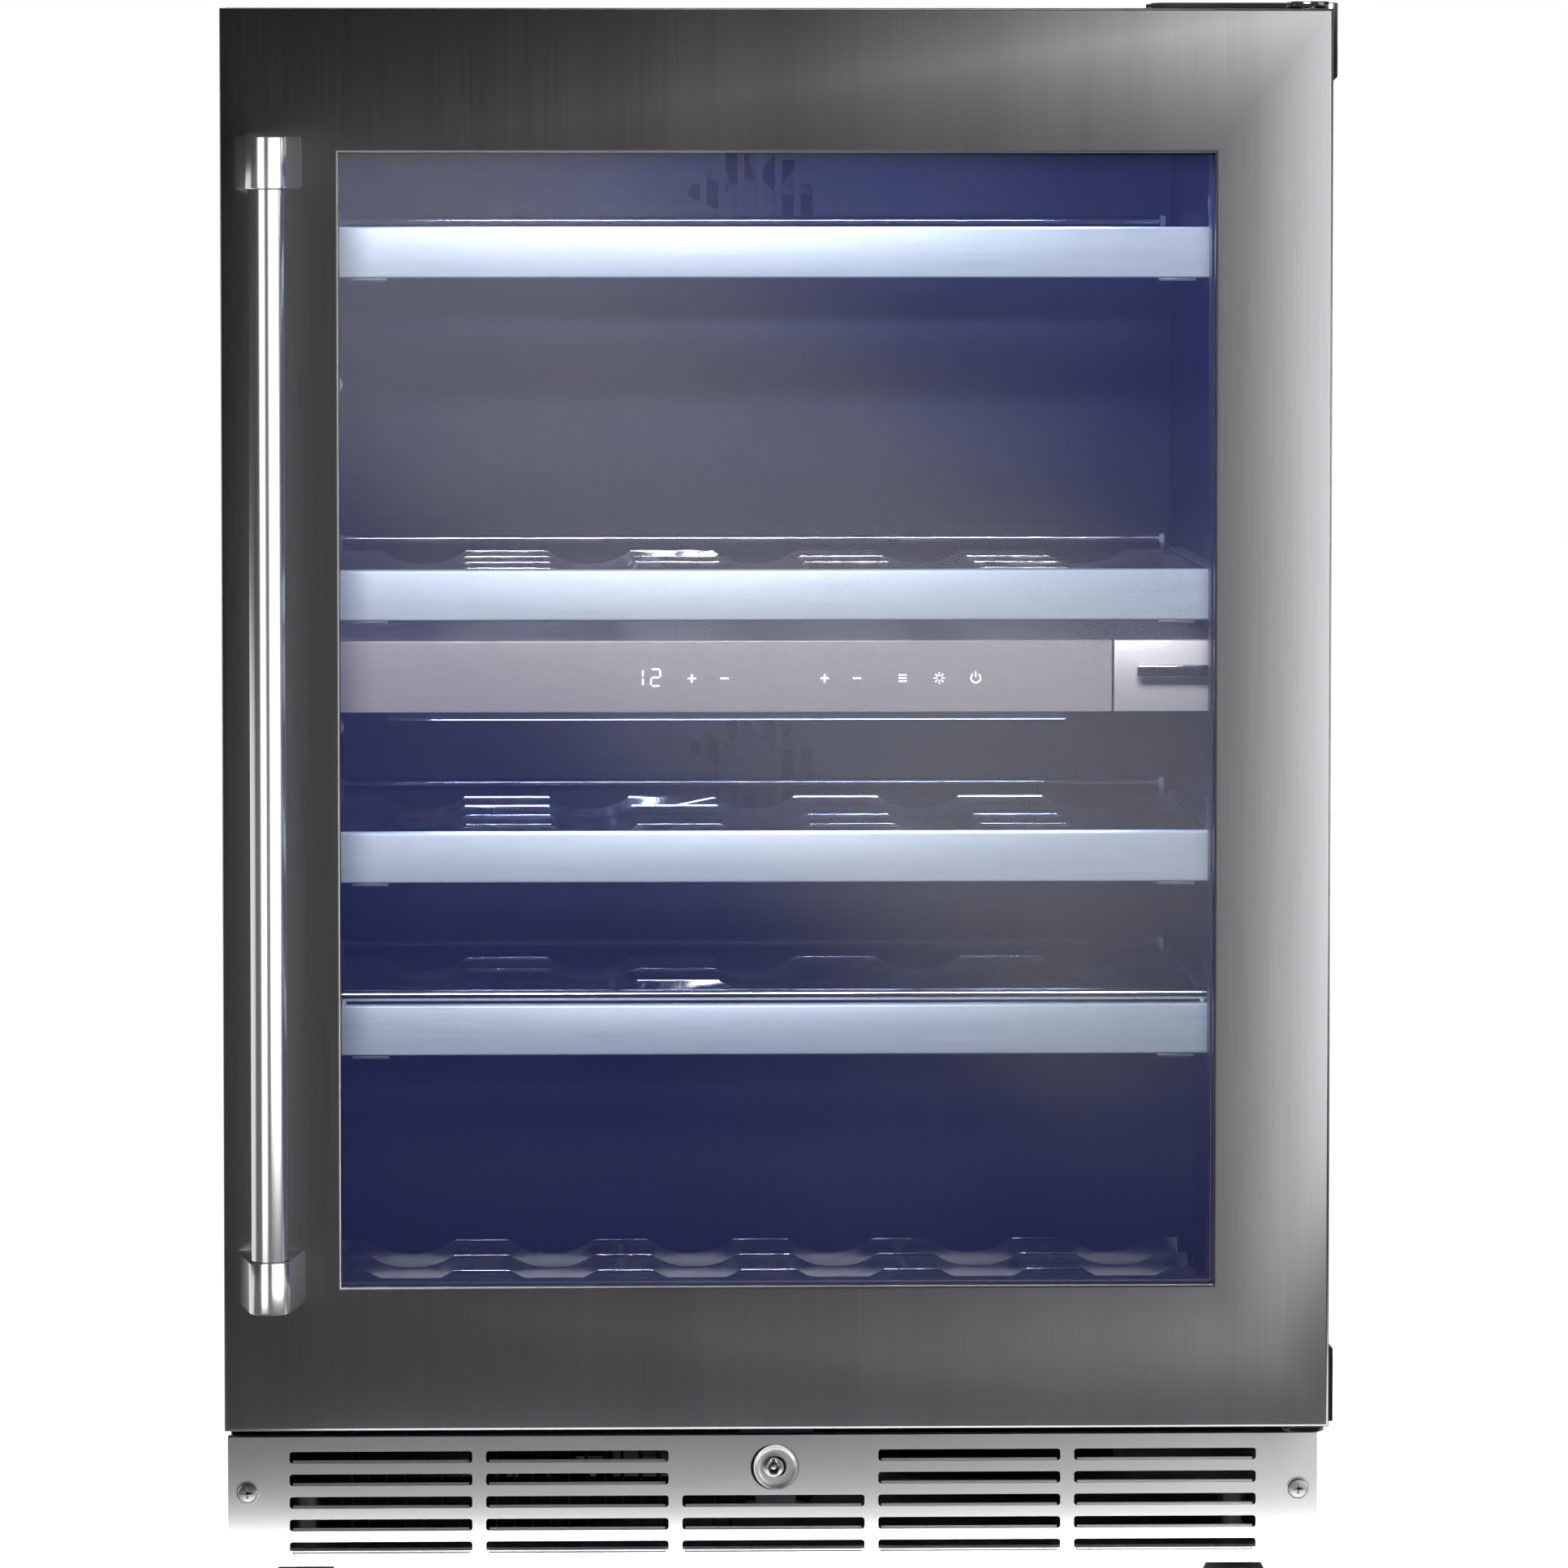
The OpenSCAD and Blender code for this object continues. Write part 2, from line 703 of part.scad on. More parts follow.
module compressor() {
    flat = 20;
    bulge = 12;
    r = compressor_r;
    color(black) translate([comp_x, comp_y, comp_z]) {
        rotate_extrude() polygon(concat(
            [[0, 0], [flat, 0]],
            [for (a = [15:15:75]) [flat + (r - flat) * sin(a), bulge * (1 - cos(a))]],
            [[r, bulge + 4], [r, compressor_h - bulge - 4]],
            [for (a = [75:-15:15]) [flat + (r - flat) * sin(a),
                compressor_h - bulge * (1 - cos(a))]],
            [[flat, compressor_h], [0, compressor_h]]
        ));
        // the welded seam and the pipe stubs
        translate([0, 0, compressor_h * 0.6]) cylinder(r = r + 2.5, h = 4);
        for (s = [-1, 1]) rod_x(s > 0 ? r - 4 : -r - 8, 0, 84, 5, 12);
    }
}

module at_compressor_feet() {
    for (x = [-1, 1], y = [-1, 1])
        translate([comp_x + x * 78, comp_y + y * 50, 0]) children();
}

module compressor_mounts() {
    color(steel) difference() {
        union() {
            block([comp_x - 92, comp_y - 60, comp_z - 3], [comp_x + 92, comp_y - 40, comp_z]);
            block([comp_x - 92, comp_y + 40, comp_z - 3], [comp_x + 92, comp_y + 60, comp_z]);
            block([comp_x - 12, comp_y - 60, comp_z - 3], [comp_x + 12, comp_y + 60, comp_z]);
        }
        at_compressor_feet() translate([0, 0, comp_z - 4]) cylinder(r = 6, h = 6);
    }
    color(dark) at_compressor_feet() difference() {
        union() {
            translate([0, 0, tray_floor]) cylinder(r = 11, h = comp_z - 3 - tray_floor);
            translate([0, 0, comp_z - 3]) cylinder(r = 6, h = 3);
            translate([0, 0, comp_z]) cylinder(r = 10, h = 4);
        }
        translate([0, 0, tray_floor - e]) cylinder(r = 3, h = 20);
    }
    color(steel) at_compressor_feet() {
        translate([0, 0, tray_floor]) cylinder(r = 3, h = comp_z + 4 - tray_floor);
        translate([0, 0, comp_z + 4]) cylinder(r = 6, h = 4, $fn = 6);
    }
}

module condenser_coil() {
    fin_step = 10;
    z0 = tray_floor;
    color([0.35, 0.35, 0.36]) {
        for (x = [cond_x0 + fin_step:fin_step:cond_x1 - fin_step])
            block([x - 0.4, cond_y0 + 3, z0 + 4], [x + 0.4, cond_y1 - 3, z0 + cond_h - 3]);
        for (x = [cond_x0, cond_x1 - 1.5])
            block([x, cond_y0, z0], [x + 1.5, cond_y1, z0 + cond_h]);
        for (y = [cond_y0 + 20:20:cond_y1 - 20], z = [z0 + 20, z0 + 60])
            rod_x(cond_x0 - 6, y, z, 4, cond_x1 - cond_x0 + 12);
    }
}

// A pipe of straight runs through the given points, with a brazed ball elbow at each bend.
module pipe(points, r) {
    for (i = [1:len(points) - 1]) {
        a = points[i - 1];
        b = points[i];
        d = b - a;
        run = norm(d);
        translate(a) rotate([0, acos(d.z / run), atan2(d.y, d.x)]) cylinder(r = r, h = run);
        if (i < len(points) - 1) translate(b) sphere(r = r + 0.8);
    }
}

module refrigerant_tubes() {
    stub_z = comp_z + 84;
    low_z = tray_floor + 20;
    high_z = tray_floor + 60;
    left = comp_x - compressor_r - 8;
    right = comp_x + compressor_r + 8;
    top = compartment_z - sheet_t;
    in_y = cond_y0 + 40;
    out_y = cond_y1 - 20;
    side_x = cond_x0 - 16;
    drier_y = cond_fan_y + fan_d + 20;
    color([0.72, 0.45, 0.30]) {
        pipe([[left, comp_y, stub_z], [left - 30, comp_y, stub_z], [left - 30, comp_y, low_z],
            [left - 30, in_y, low_z], [cond_x1 + 6, in_y, low_z]], 4);
        pipe([[right, comp_y, stub_z], [right + 24, comp_y, stub_z], [right + 24, comp_y, top]], 4);
        pipe([[cond_x0 - 6, out_y, high_z], [side_x, out_y, high_z], [side_x, drier_y, high_z],
            [side_x, compartment_y + 40, high_z], [side_x, compartment_y + 40, top]], 3);
        rod_y(side_x, drier_y, high_z, 9, 90);
    }
}

module drip_tray() {
    z = comp_z + compressor_h;
    color(dark) translate([comp_x, comp_y, z]) difference() {
        block([-75, -60, 0], [75, 60, 22]);
        block([-73, -58, 2], [73, 58, 22 + e]);
    }
}

// ---- Fans and cold parts ----

// Places children at each fan, with local Z running to the back.
module at_fan(which) {
    places = [
        [cond_fan_x, cond_fan_y, cond_fan_z],
        [0, duct_fan_y, upper_z1 - fan_drop],
        [0, duct_fan_y, lower_z1 - fan_drop]
    ];
    translate(places[which]) rotate([-90, 0, 0]) children();
}

module fan_frames() {
    bore = fan_size / 2 - 2;
    color(dark) for (i = [0:2]) at_fan(i) {
        difference() {
            translate([-fan_size / 2, -fan_size / 2, 0]) cube([fan_size, fan_size, fan_d]);
            translate([0, 0, -e]) cylinder(r = bore, h = fan_d + 2 * e);
        }
        for (a = [45:90:315]) rotate([0, 0, a])
            translate([fan_hub_r - 2, -1.5, fan_d - 3]) cube([bore - fan_hub_r + 3, 3, 3]);
        translate([0, 0, fan_d - 4]) cylinder(r = fan_hub_r, h = 4);
        translate([0, 0, 6]) cylinder(r = fan_axle_r, h = fan_d - 6);
    }
}

// A hub with seven raked blades that runs on the frame's axle.
module fan_rotor(which) {
    blade_r = fan_size / 2 - 3.5;
    depth = fan_d - 8;
    color([0.22, 0.22, 0.24]) at_fan(which) translate([0, 0, 2]) difference() {
        union() {
            cylinder(r = fan_hub_r, h = depth);
            intersection() {
                cylinder(r = blade_r, h = depth);
                for (i = [0:6]) rotate([0, 0, i * 360 / 7])
                    translate([fan_hub_r - 1, 0, depth / 2]) rotate([40, 0, 0])
                        translate([0, -0.8, -depth]) cube([blade_r, 1.6, 2 * depth]);
            }
        }
        translate([0, 0, 3]) cylinder(r = fan_axle_r + pin_clear, h = depth);
    }
}

// A finned cooling coil that stands in a duct.
module cooling_coil(z0) {
    y0 = duct_y + 7;
    y1 = cavity_back - 3;
    half = 170;
    color([0.75, 0.76, 0.78]) {
        for (x = [-half:10:half]) block([x - 0.3, y0, z0], [x + 0.3, y1, z0 + coil_h]);
        for (z = [z0 + 12:17:z0 + coil_h - 8])
            rod_x(-half - 8, (y0 + y1) / 2, z, 4, 2 * half + 16);
        // end plates that stand against the liner
        for (x = [-half - 6, half + 4.5]) block([x, y0, z0], [x + 1.5, cavity_back, z0 + coil_h]);
    }
}

module evaporators() {
    cooling_coil(upper_z0 + 20);
    cooling_coil(lower_z0 + 18);
}

// A shallow cover with a round outlet for the fan and slots for returning air.
module duct_cover(z0, z1) {
    half = half_in - 3;
    fan_z = z1 - fan_drop;
    difference() {
        block([-half, duct_y, z0], [half, cavity_back, z1]);
        block([-half + duct_wall, duct_y + duct_wall, z0 + duct_wall],
              [half - duct_wall, cavity_back + e, z1 - duct_wall]);
        for (x = [-33:11:33]) let (reach = sqrt(pow(fan_size / 2 - 4, 2) - x * x))
            block([x - 3.5, duct_y - e, fan_z - reach], [x + 3.5, duct_y + duct_wall + e, fan_z + reach]);
        for (x = [-160:32:160])
            block([x - 12, duct_y - e, z0 + 12], [x + 12, duct_y + duct_wall + e, z0 + 18]);
    }
}

module duct_covers() {
    color([0.13, 0.14, 0.17]) {
        duct_cover(upper_z0, upper_z1);
        duct_cover(lower_z0, lower_z1);
    }
}

// Probes clipped to the left wall, one for each zone.
module temperature_sensors() {
    color([0.8, 0.8, 0.8]) for (z = [panel_top + 130, panel_z - 30]) {
        block([-half_in, duct_y - 60, z - 7], [-half_in + 3, duct_y - 24, z + 7]);
        rod_y(-half_in + 7.5, duct_y - 58, z, 4.5, 32);
    }
}

module light_bars() {
    color([0.92, 0.95, 1.0]) {
        block([-half_in + 40, cab_y + 8, ceiling_z - 8], [half_in - 40, cab_y + 24, ceiling_z]);
        block([-half_in + 40, divider_y + 10, panel_z - 5], [half_in - 90, divider_y + 24, panel_z]);
    }
}

// ---- Divider, panel and drawer ----

module zone_divider() {
    color([0.20, 0.20, 0.22]) difference() {
        block([-half_in + 0.5, divider_y, panel_z], [half_in - 0.5, duct_y - 1, divider_top]);
        // pocket for the display board
        block([-half_in + 30, divider_y - e, panel_z + 6],
              [panel_right - 20, divider_y + 26, divider_top - 6]);
        // bay for the accessory drawer
        block([bay_x0, divider_y - e, panel_z + 2.5],
              [bay_x1, panel_y + drawer_d + 12, divider_top - 2.5]);
    }
}

module control_panel() {
    color([0.56, 0.54, 0.54])
        block([-half_in + fascia_gap, panel_y, panel_z], [panel_right, divider_y, panel_top]);
}

// A board with its display and key lamps, behind the panel.
module display_board() {
    y = divider_y + 6;
    color([0.10, 0.35, 0.18])
        block([-half_in + 34, y, panel_z + 8], [panel_right - 24, y + 1.6, divider_top - 8]);
    color([0.9, 0.95, 1.0]) for (x = [-58, 44])
        block([x - 16, y - 6, panel_z + 12], [x + 16, y, divider_top - 12]);
}

module accessory_drawer() {
    x0 = bay_x0 + 1.5;
    x1 = bay_x1 - 1.5;
    z0 = panel_z + 4;
    z1 = divider_top - 5;
    y1 = panel_y + drawer_d;
    color([0.60, 0.59, 0.60]) {
        block([panel_right + 1, panel_y, panel_z], [half_in - fascia_gap, divider_y - 0.5, panel_top]);
        difference() {
            block([x0, divider_y - 0.5, z0], [x1, y1, z1]);
            block([x0 + 2, divider_y + 2, z0 + 2], [x1 - 2, y1 - 2, z1 + e]);
        }
    }
}

module drawer_pull() {
    x0 = panel_right + 13;
    x1 = half_in - fascia_gap - 8;
    z0 = panel_z + 19.5;
    color([0.75, 0.75, 0.77]) {
        block([x0, pull_y, z0], [x1, pull_y + 6, z0 + 6.5]);
        for (x = [x0 + 4, x1 - 10]) block([x, pull_y + 6, z0 + 1], [x + 6, panel_y, z0 + 5.5]);
    }
}

// ---- Shelves ----

// Channels screwed to the liner, open towards the middle.
module cabinet_slides() {
    color([0.68, 0.69, 0.70]) for (top = SHELF_TOPS, s = [0, 1]) mirror([s, 0, 0])
        translate([half_in, slide_y, top - slide_drop]) difference() {
            block([-slide_depth, 0, -slide_h / 2], [0, slide_len, slide_h / 2]);
            block([-slide_depth - e, -e, -slide_h / 2 + slide_web],
                  [-slide_web, slide_len - 2, slide_h / 2 - slide_web]);
        }
}

// The sliding member that runs in a cabinet channel, on the right-hand side.
module slide_member(top) {
    h = slide_h / 2 - slide_web - slide_clear;
    translate([0, slide_y, top - slide_drop]) difference() {
        block([member_in, 0, -h], [member_out, slide_len - 4, h]);
        block([member_in + slide_web, -e, -h + slide_web],
              [member_out + e, slide_len - 4 + e, h - slide_web]);
    }
}

// A flat bar with a scoop for each bottle, standing across the rack.
module cradle_bar(half, y, z, h, seats) {
    pitch = 2 * half / seats;
    scoop = 8;
    translate([0, y + 1.5, z]) rotate([90, 0, 0]) linear_extrude(3) difference() {
        translate([-half, 0]) square([2 * half, h]);
        for (i = [0:seats - 1])
            translate([-half + (i + 0.5) * pitch, h + seat_d / 2 - scoop]) circle(d = seat_d);
    }
}

module shelf_rack(top, rail) {
    side = member_in - side_bar_t;
    bar_z = top - 20;
    color([0.78, 0.79, 0.80]) {
        for (s = [0, 1]) mirror([s, 0, 0]) {
            slide_member(top);
            block([side, rack_y0, top - 22], [member_in, rack_y1, top - 6]);
            block([side, rack_y1 - 12, top - 22], [member_in, rack_y1, top + 4]);
            rod_y(half_in / 3, rack_y0 + 1, top - 17, 2.5, rack_y1 - rack_y0 - 2);
        }
        block([-side, rack_y0, top - 22], [side, rack_y0 + 3, top - 4]);
        rod_x(-side, rack_y1 - 6, top + 1, 3, 2 * side);
        for (i = [0:4])
            cradle_bar(side + e, rack_y0 + 36 + i * (rack_y1 - rack_y0 - 80) / 4, bar_z, 16, 5);
        if (rail) front_rail(top);
    }
}

// A round guard rail on two posts above the fascia.
module front_rail(top) {
    half = half_in - fascia_gap - 4;
    y = fascia_y + 5;
    rod_x(-half, y, top + 5, 3, 2 * half);
    for (s = [-1, 1]) {
        rod_x(s > 0 ? half - 3 : -half, y, top + 5, 4, 3);
        translate([s * (half - 8), y, top]) cylinder(r = 1.8, h = 5);
    }
}

module shelf_fascia(top) {
    half = half_in - fascia_gap;
    color([0.72, 0.77, 0.82]) difference() {
        block([-half, fascia_y, top - fascia_h], [half, fascia_back, top]);
        block([-half + fascia_t, fascia_y + fascia_t, top - fascia_h + fascia_t],
              [half - fascia_t, fascia_back + e, top - fascia_t]);
    }
}

module floor_rack() {
    half = half_in - 12;
    y0 = cab_y + 22;
    y1 = step_y - 14;
    color([0.70, 0.71, 0.72]) {
        for (i = [0:3]) cradle_bar(half, y0 + 6 + i * (y1 - y0 - 12) / 3, floor_z, 16, 6);
        for (x = [-half + 1.5, -half / 3, half / 3, half - 1.5])
            block([x - 1.5, y0, floor_z], [x + 1.5, y1, floor_z + 7]);
    }
}

// ---- Door ----

module door_skin() {
    color([0.50, 0.50, 0.50]) difference() {
        union() {
            difference() {
                block([-door_half, 0, door_z], [door_half, skin_d, door_top]);
                block([-door_half + skin_t, skin_t, door_z + skin_t],
                      [door_half - skin_t, skin_d + e, door_top - skin_t]);
            }
            ring_xz(0, window_return, win_half + skin_t, win_z0 - skin_t, win_z1 + skin_t,
                win_half, win_z0, win_z1);
        }
        block([-win_half, -e, win_z0], [win_half, window_return + e, win_z1]);
        bush_pockets();
        for (z = [handle_z0, handle_z1 - mount_h])
            rod_y(handle_x, -e, z + mount_h / 2, handle_screw_r, skin_t + 2 * e);
    }
}

module door_foam() {
    inner_y = door_t - lining_t;
    pack_half = win_half + glass_lap;
    color([0.93, 0.88, 0.70]) difference() {
        union() {
            block([-door_half + skin_t, skin_t, door_z + skin_t],
                  [door_half - skin_t, skin_d, door_top - skin_t]);
            block([-lining_half + lining_t, skin_d, lining_z0 + lining_t],
                  [lining_half - lining_t, inner_y, lining_z1 - lining_t]);
        }
        block([-win_half - skin_t, 0, win_z0 - skin_t],
              [win_half + skin_t, pack_y + e, win_z1 + skin_t]);
        block([-pack_half, pack_y, win_z0 - glass_lap], [pack_half, pack_back, win_z1 + glass_lap]);
        block([-win_half - lining_t, pack_back - e, win_z0 - lining_t],
              [win_half + lining_t, door_t, win_z1 + lining_t]);
        bush_pockets();
        for (z = [handle_z0, handle_z1 - mount_h])
            rod_y(handle_x, 0, z + mount_h / 2, handle_screw_r + 2.5, skin_t + 4);
        ring_xz(door_t - 2 * lining_t, door_t, seal_half + seal_foot_w, seal_z0 - seal_foot_w,
            seal_z1 + seal_foot_w, seal_half - seal_foot_w, seal_z0 + seal_foot_w,
            seal_z1 - seal_foot_w);
    }
}

// The seal's groove and its foot: a thin frame on the seal's middle line.
module seal_line(y0, y1, w) {
    ring_xz(y0, y1, seal_half + w / 2, seal_z0 - w / 2, seal_z1 + w / 2,
        seal_half - w / 2, seal_z0 + w / 2, seal_z1 - w / 2);
}

module door_lining() {
    color(dark) difference() {
        union() {
            difference() {
                block([-lining_half, skin_d, lining_z0], [lining_half, door_t, lining_z1]);
                block([-lining_half + lining_t, skin_d - e, lining_z0 + lining_t],
                      [lining_half - lining_t, door_t - lining_t, lining_z1 - lining_t]);
            }
            ring_xz(pack_back, door_t, win_half + lining_t, win_z0 - lining_t, win_z1 + lining_t,
                win_half, win_z0, win_z1);
            // the bottom of the seal's groove
            seal_line(door_t - 2 * lining_t, door_t - lining_t + e, 2 * seal_foot_w);
        }
        block([-win_half, pack_back - e, win_z0], [win_half, door_t + e, win_z1]);
        seal_line(door_t - lining_t - 0.5, door_t + e, seal_foot_w);
    }
}

module pane(y) {
    block([-win_half - glass_lap, y, win_z0 - glass_lap],
          [win_half + glass_lap, y + glass_t, win_z1 + glass_lap]);
}

module outer_glass() {
    color([0.30, 0.32, 0.36, 0.5]) pane(pack_y);
}

module inner_glass() {
    color([0.30, 0.32, 0.36, 0.5]) pane(pack_back - glass_t);
}

module glass_spacer() {
    lap = glass_lap;
    color(black) ring_xz(pack_y + glass_t, pack_back - glass_t, win_half + lap, win_z0 - lap,
        win_z1 + lap, win_half + 1, win_z0 - 1, win_z1 + 1);
}

module door_seal() {
    color([0.16, 0.16, 0.17]) {
        seal_line(door_t, cab_y - seal_gap, seal_w);
        seal_line(door_t - lining_t - 0.5, door_t + 0.01, seal_foot_w);
    }
}

// ---- Handle ----

module handle_tube() {
    color([0.75, 0.75, 0.76]) translate([handle_x, tube_y, handle_z0 + mount_h - 8])
        cylinder(r = tube_r, h = handle_len - 2 * mount_h + 16);
}

// One end mount, drawn from its lower end: round at the front and wider at the door.
module handle_mount() {
    foot = mount_foot_w / 2;
    foot_t = 3;
    linear_extrude(mount_h) union() {
        translate([0, tube_y]) circle(r = mount_r);
        polygon([
            [-foot, 0], [-foot, -foot_t], [-mount_r, tube_y],
            [mount_r, tube_y], [foot, -foot_t], [foot, 0]
        ]);
    }
}

module handle_mounts() {
    color([0.70, 0.70, 0.71]) difference() {
        for (z = [handle_z0, handle_z1 - mount_h]) translate([handle_x, 0, z]) handle_mount();
        translate([handle_x, tube_y, handle_z0 + mount_h - 8])
            cylinder(r = tube_r, h = handle_len - 2 * mount_h + 16);
        for (z = [handle_z0, handle_z1 - mount_h])
            rod_y(handle_x, -handle_screw_depth, z + mount_h / 2, handle_screw_r,
                handle_screw_depth + e);
    }
}

module handle_screws() {
    color(steel) for (z = [handle_z0, handle_z1 - mount_h]) {
        rod_y(handle_x, -handle_screw_depth, z + mount_h / 2, handle_screw_r,
            handle_screw_depth + skin_t);
        rod_y(handle_x, skin_t, z + mount_h / 2, handle_screw_r + 2.5, 4);
    }
}

placed() outer_wrap();
placed() back_panel();
placed() inner_liner();
placed() foam_insulation();
placed() front_frame();
placed() compartment_panel();
placed() base_tray();
placed() machine_cover();
placed() toe_kick_grille();
placed() kick_screws();
placed() cabinet_screws();
placed() hinge_brackets();
placed() hinge_pins();
placed() hinge_covers();
placed() anti_tip_bracket();
placed() power_inlet();
placed() compressor();
placed() compressor_mounts();
placed() condenser_coil();
placed() refrigerant_tubes();
placed() drip_tray();
placed() fan_frames();
placed() fan_rotor(0);  // condenser_fan
placed() fan_rotor(1);  // upper_fan
placed() fan_rotor(2);  // lower_fan
placed() evaporators();
placed() duct_covers();
placed() temperature_sensors();
placed() light_bars();
placed() cabinet_slides();
placed() floor_rack();
placed() zone_divider();
placed() control_panel();
placed() display_board();
placed() accessory_drawer();
placed() drawer_pull();
placed() shelf_rack(shelf_1_top, false);  // shelf_rack_1
placed() shelf_rack(shelf_2_top, false);  // shelf_rack_2
placed() shelf_rack(shelf_3_top, false);  // shelf_rack_3
placed() shelf_rack(shelf_4_top, true);  // shelf_rack_4
placed() shelf_fascia(shelf_1_top);  // shelf_fascia_1
placed() shelf_fascia(shelf_2_top);  // shelf_fascia_2
placed() shelf_fascia(shelf_3_top);  // shelf_fascia_3
placed() shelf_fascia(shelf_4_top);  // shelf_fascia_4
placed() lock_housing();
placed() lock_cylinder();
placed() lock_bolt();
placed() lock_strike();
placed() door_skin();
placed() door_foam();
placed() door_lining();
placed() outer_glass();
placed() inner_glass();
placed() glass_spacer();
placed() door_seal();
placed() hinge_bushes();
placed() handle_tube();
placed() handle_mounts();
placed() handle_screws();
placed() levelling_feet();
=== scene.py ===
"""Finished look of a built-in wine cooler.

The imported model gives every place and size. This add-on, run as a script, gives its
sheet metal folded edges, makes the small fittings, and gives each piece its material.
Lengths are in metres in the model's own frame: X right, Y back, Z up.
"""

import math

import bmesh
import bpy
from mathutils import Matrix, Quaternion, Vector


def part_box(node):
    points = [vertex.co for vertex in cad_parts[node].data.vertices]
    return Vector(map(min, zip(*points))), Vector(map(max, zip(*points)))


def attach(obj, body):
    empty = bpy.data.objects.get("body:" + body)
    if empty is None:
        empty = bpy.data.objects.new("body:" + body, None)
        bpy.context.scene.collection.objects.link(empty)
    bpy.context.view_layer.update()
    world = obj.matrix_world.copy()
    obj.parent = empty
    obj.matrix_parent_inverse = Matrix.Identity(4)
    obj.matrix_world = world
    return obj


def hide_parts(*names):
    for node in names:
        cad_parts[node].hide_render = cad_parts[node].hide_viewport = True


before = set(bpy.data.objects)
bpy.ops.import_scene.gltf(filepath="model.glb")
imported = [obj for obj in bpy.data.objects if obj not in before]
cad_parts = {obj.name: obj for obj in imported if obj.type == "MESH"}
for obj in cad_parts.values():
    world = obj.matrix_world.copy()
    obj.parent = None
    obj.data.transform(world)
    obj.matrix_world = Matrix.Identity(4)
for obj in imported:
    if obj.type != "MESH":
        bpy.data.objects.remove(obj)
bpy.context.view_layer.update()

bl_info = {
    "name": "Wine Cooler Finish",
    "version": (1, 0, 0),
    "blender": (4, 5, 0),
    "location": "3D View > Sidebar > Wine Cooler",
    "description": "Folded edges, fittings and materials of a built-in wine cooler",
    "category": "Object",
}

MM = 0.001
MERGE = 2e-6  # vertices closer than this are one vertex
SHARP = math.radians(35)  # edges sharper than this stay sharp when shaded
SHELVES = (1, 2, 3, 4)
LOCK_RIM = 12.5 * MM  # radius of the round hole in the plinth for the lock
UP = Vector((0, 0, 1))


# ---- Materials ----


def linear(hex_colour):
    """The linear colour of an sRGB hex value."""
    parts = (int(hex_colour[i : i + 2], 16) / 255 for i in (1, 3, 5))
    line = [c / 12.92 if c <= 0.04045 else ((c + 0.055) / 1.055) ** 2.4 for c in parts]
    return (*line, 1.0)


def sized(size):
    """The scale of a pattern whose features are this many millimetres across."""
    return 1 / (size * MM)


def add(tree, kind, feeds=None, **settings):
    """Adds a node: settings are its own properties, feeds go to its inputs."""
    new = tree.nodes.new("ShaderNode" + kind)
    for key, value in settings.items():
        setattr(new, key, value)
    for key, value in (feeds or {}).items():
        if isinstance(value, bpy.types.NodeSocket):
            tree.links.new(value, new.inputs[key])
        else:
            new.inputs[key].default_value = value
    return new


def begin(name):
    """A new empty material, its tree and the object's own coordinates."""
    material = bpy.data.materials.new(name)
    material.use_nodes = True
    tree = material.node_tree
    tree.nodes.clear()
    return material, tree, add(tree, "TexCoord").outputs["Object"]


def coat(tree, shade, colours, rough, feel=None, relief=None, bump=0.0, span=(0.3, 0.7), **feeds):
    """Ends a material: shade picks the colour, feel the roughness, relief the bump in metres."""
    feel = feel or shade
    mixed = add(
        tree, "Mix", {0: shade, 6: linear(colours[0]), 7: linear(colours[1])}, data_type="RGBA"
    )
    ranged = add(tree, "MapRange", {0: feel, 1: span[0], 2: span[1], 3: rough[0], 4: rough[1]})
    inputs = {"Base Color": mixed.outputs[2], "Roughness": ranged.outputs[0]}
    if bump:
        raised = add(tree, "Bump", {"Height": relief or feel, "Distance": bump, "Strength": 1.0})
        inputs["Normal"] = raised.outputs[0]
    inputs.update({key.replace("_", " "): value for key, value in feeds.items()})
    shader = add(tree, "BsdfPrincipled", inputs)
    add(tree, "OutputMaterial", {"Surface": shader.outputs[0]})


def grain_sizes(axis, across, along):
    """Noise scales for a grain that runs along one axis, from its sizes in millimetres."""
    return Vector([sized(along) if axis == i else sized(across) for i in range(3)])


def brushed(name, colours, axis, across, rough, turn, spread=0.75, metal=1.0, bump=0.008):
    """Sheet ground with a belt: fine lines along one axis that smear reflections across it.

    Real belt lines are near 0.1 mm wide. They are drawn about 1 mm wide so that they show.
    """
    material, tree, place = begin(name)
    fine = add(tree, "Mapping", {0: place, "Scale": grain_sizes(axis, across, 70)})
    broad = add(tree, "Mapping", {0: place, "Scale": grain_sizes(axis, 30, 600)})
    lines = add(tree, "TexNoise", {0: fine.outputs[0], "Scale": 1.0, "Detail": 3.0}).outputs[0]
    cloud = add(tree, "TexNoise", {0: broad.outputs[0], "Scale": 1.0, "Detail": 2.0}).outputs[0]
    both = add(tree, "Math", {0: lines, 1: 0.75, 2: cloud}, operation="MULTIPLY_ADD").outputs[0]
    shade = add(tree, "MapRange", {0: both, 1: 0.5, 2: 1.3, 3: 0.0, 4: 1.0}).outputs[0]
    tangent = add(tree, "Tangent", direction_type="RADIAL", axis=turn).outputs[0]
    coat(
        tree, shade, colours, (rough - 0.008, rough + 0.012), feel=lines, bump=bump * MM,
        Metallic=metal, Anisotropic=spread, Tangent=tangent,
    )
    return material


def door_stainless():
    """Stainless steel, belt ground upright: grey, with upright streaks and a sideways sheen."""
    colours = ("#868688", "#969698")
    return brushed("door_stainless", colours, 2, 0.7, 0.3, "Z", 0.6, bump=0.004)


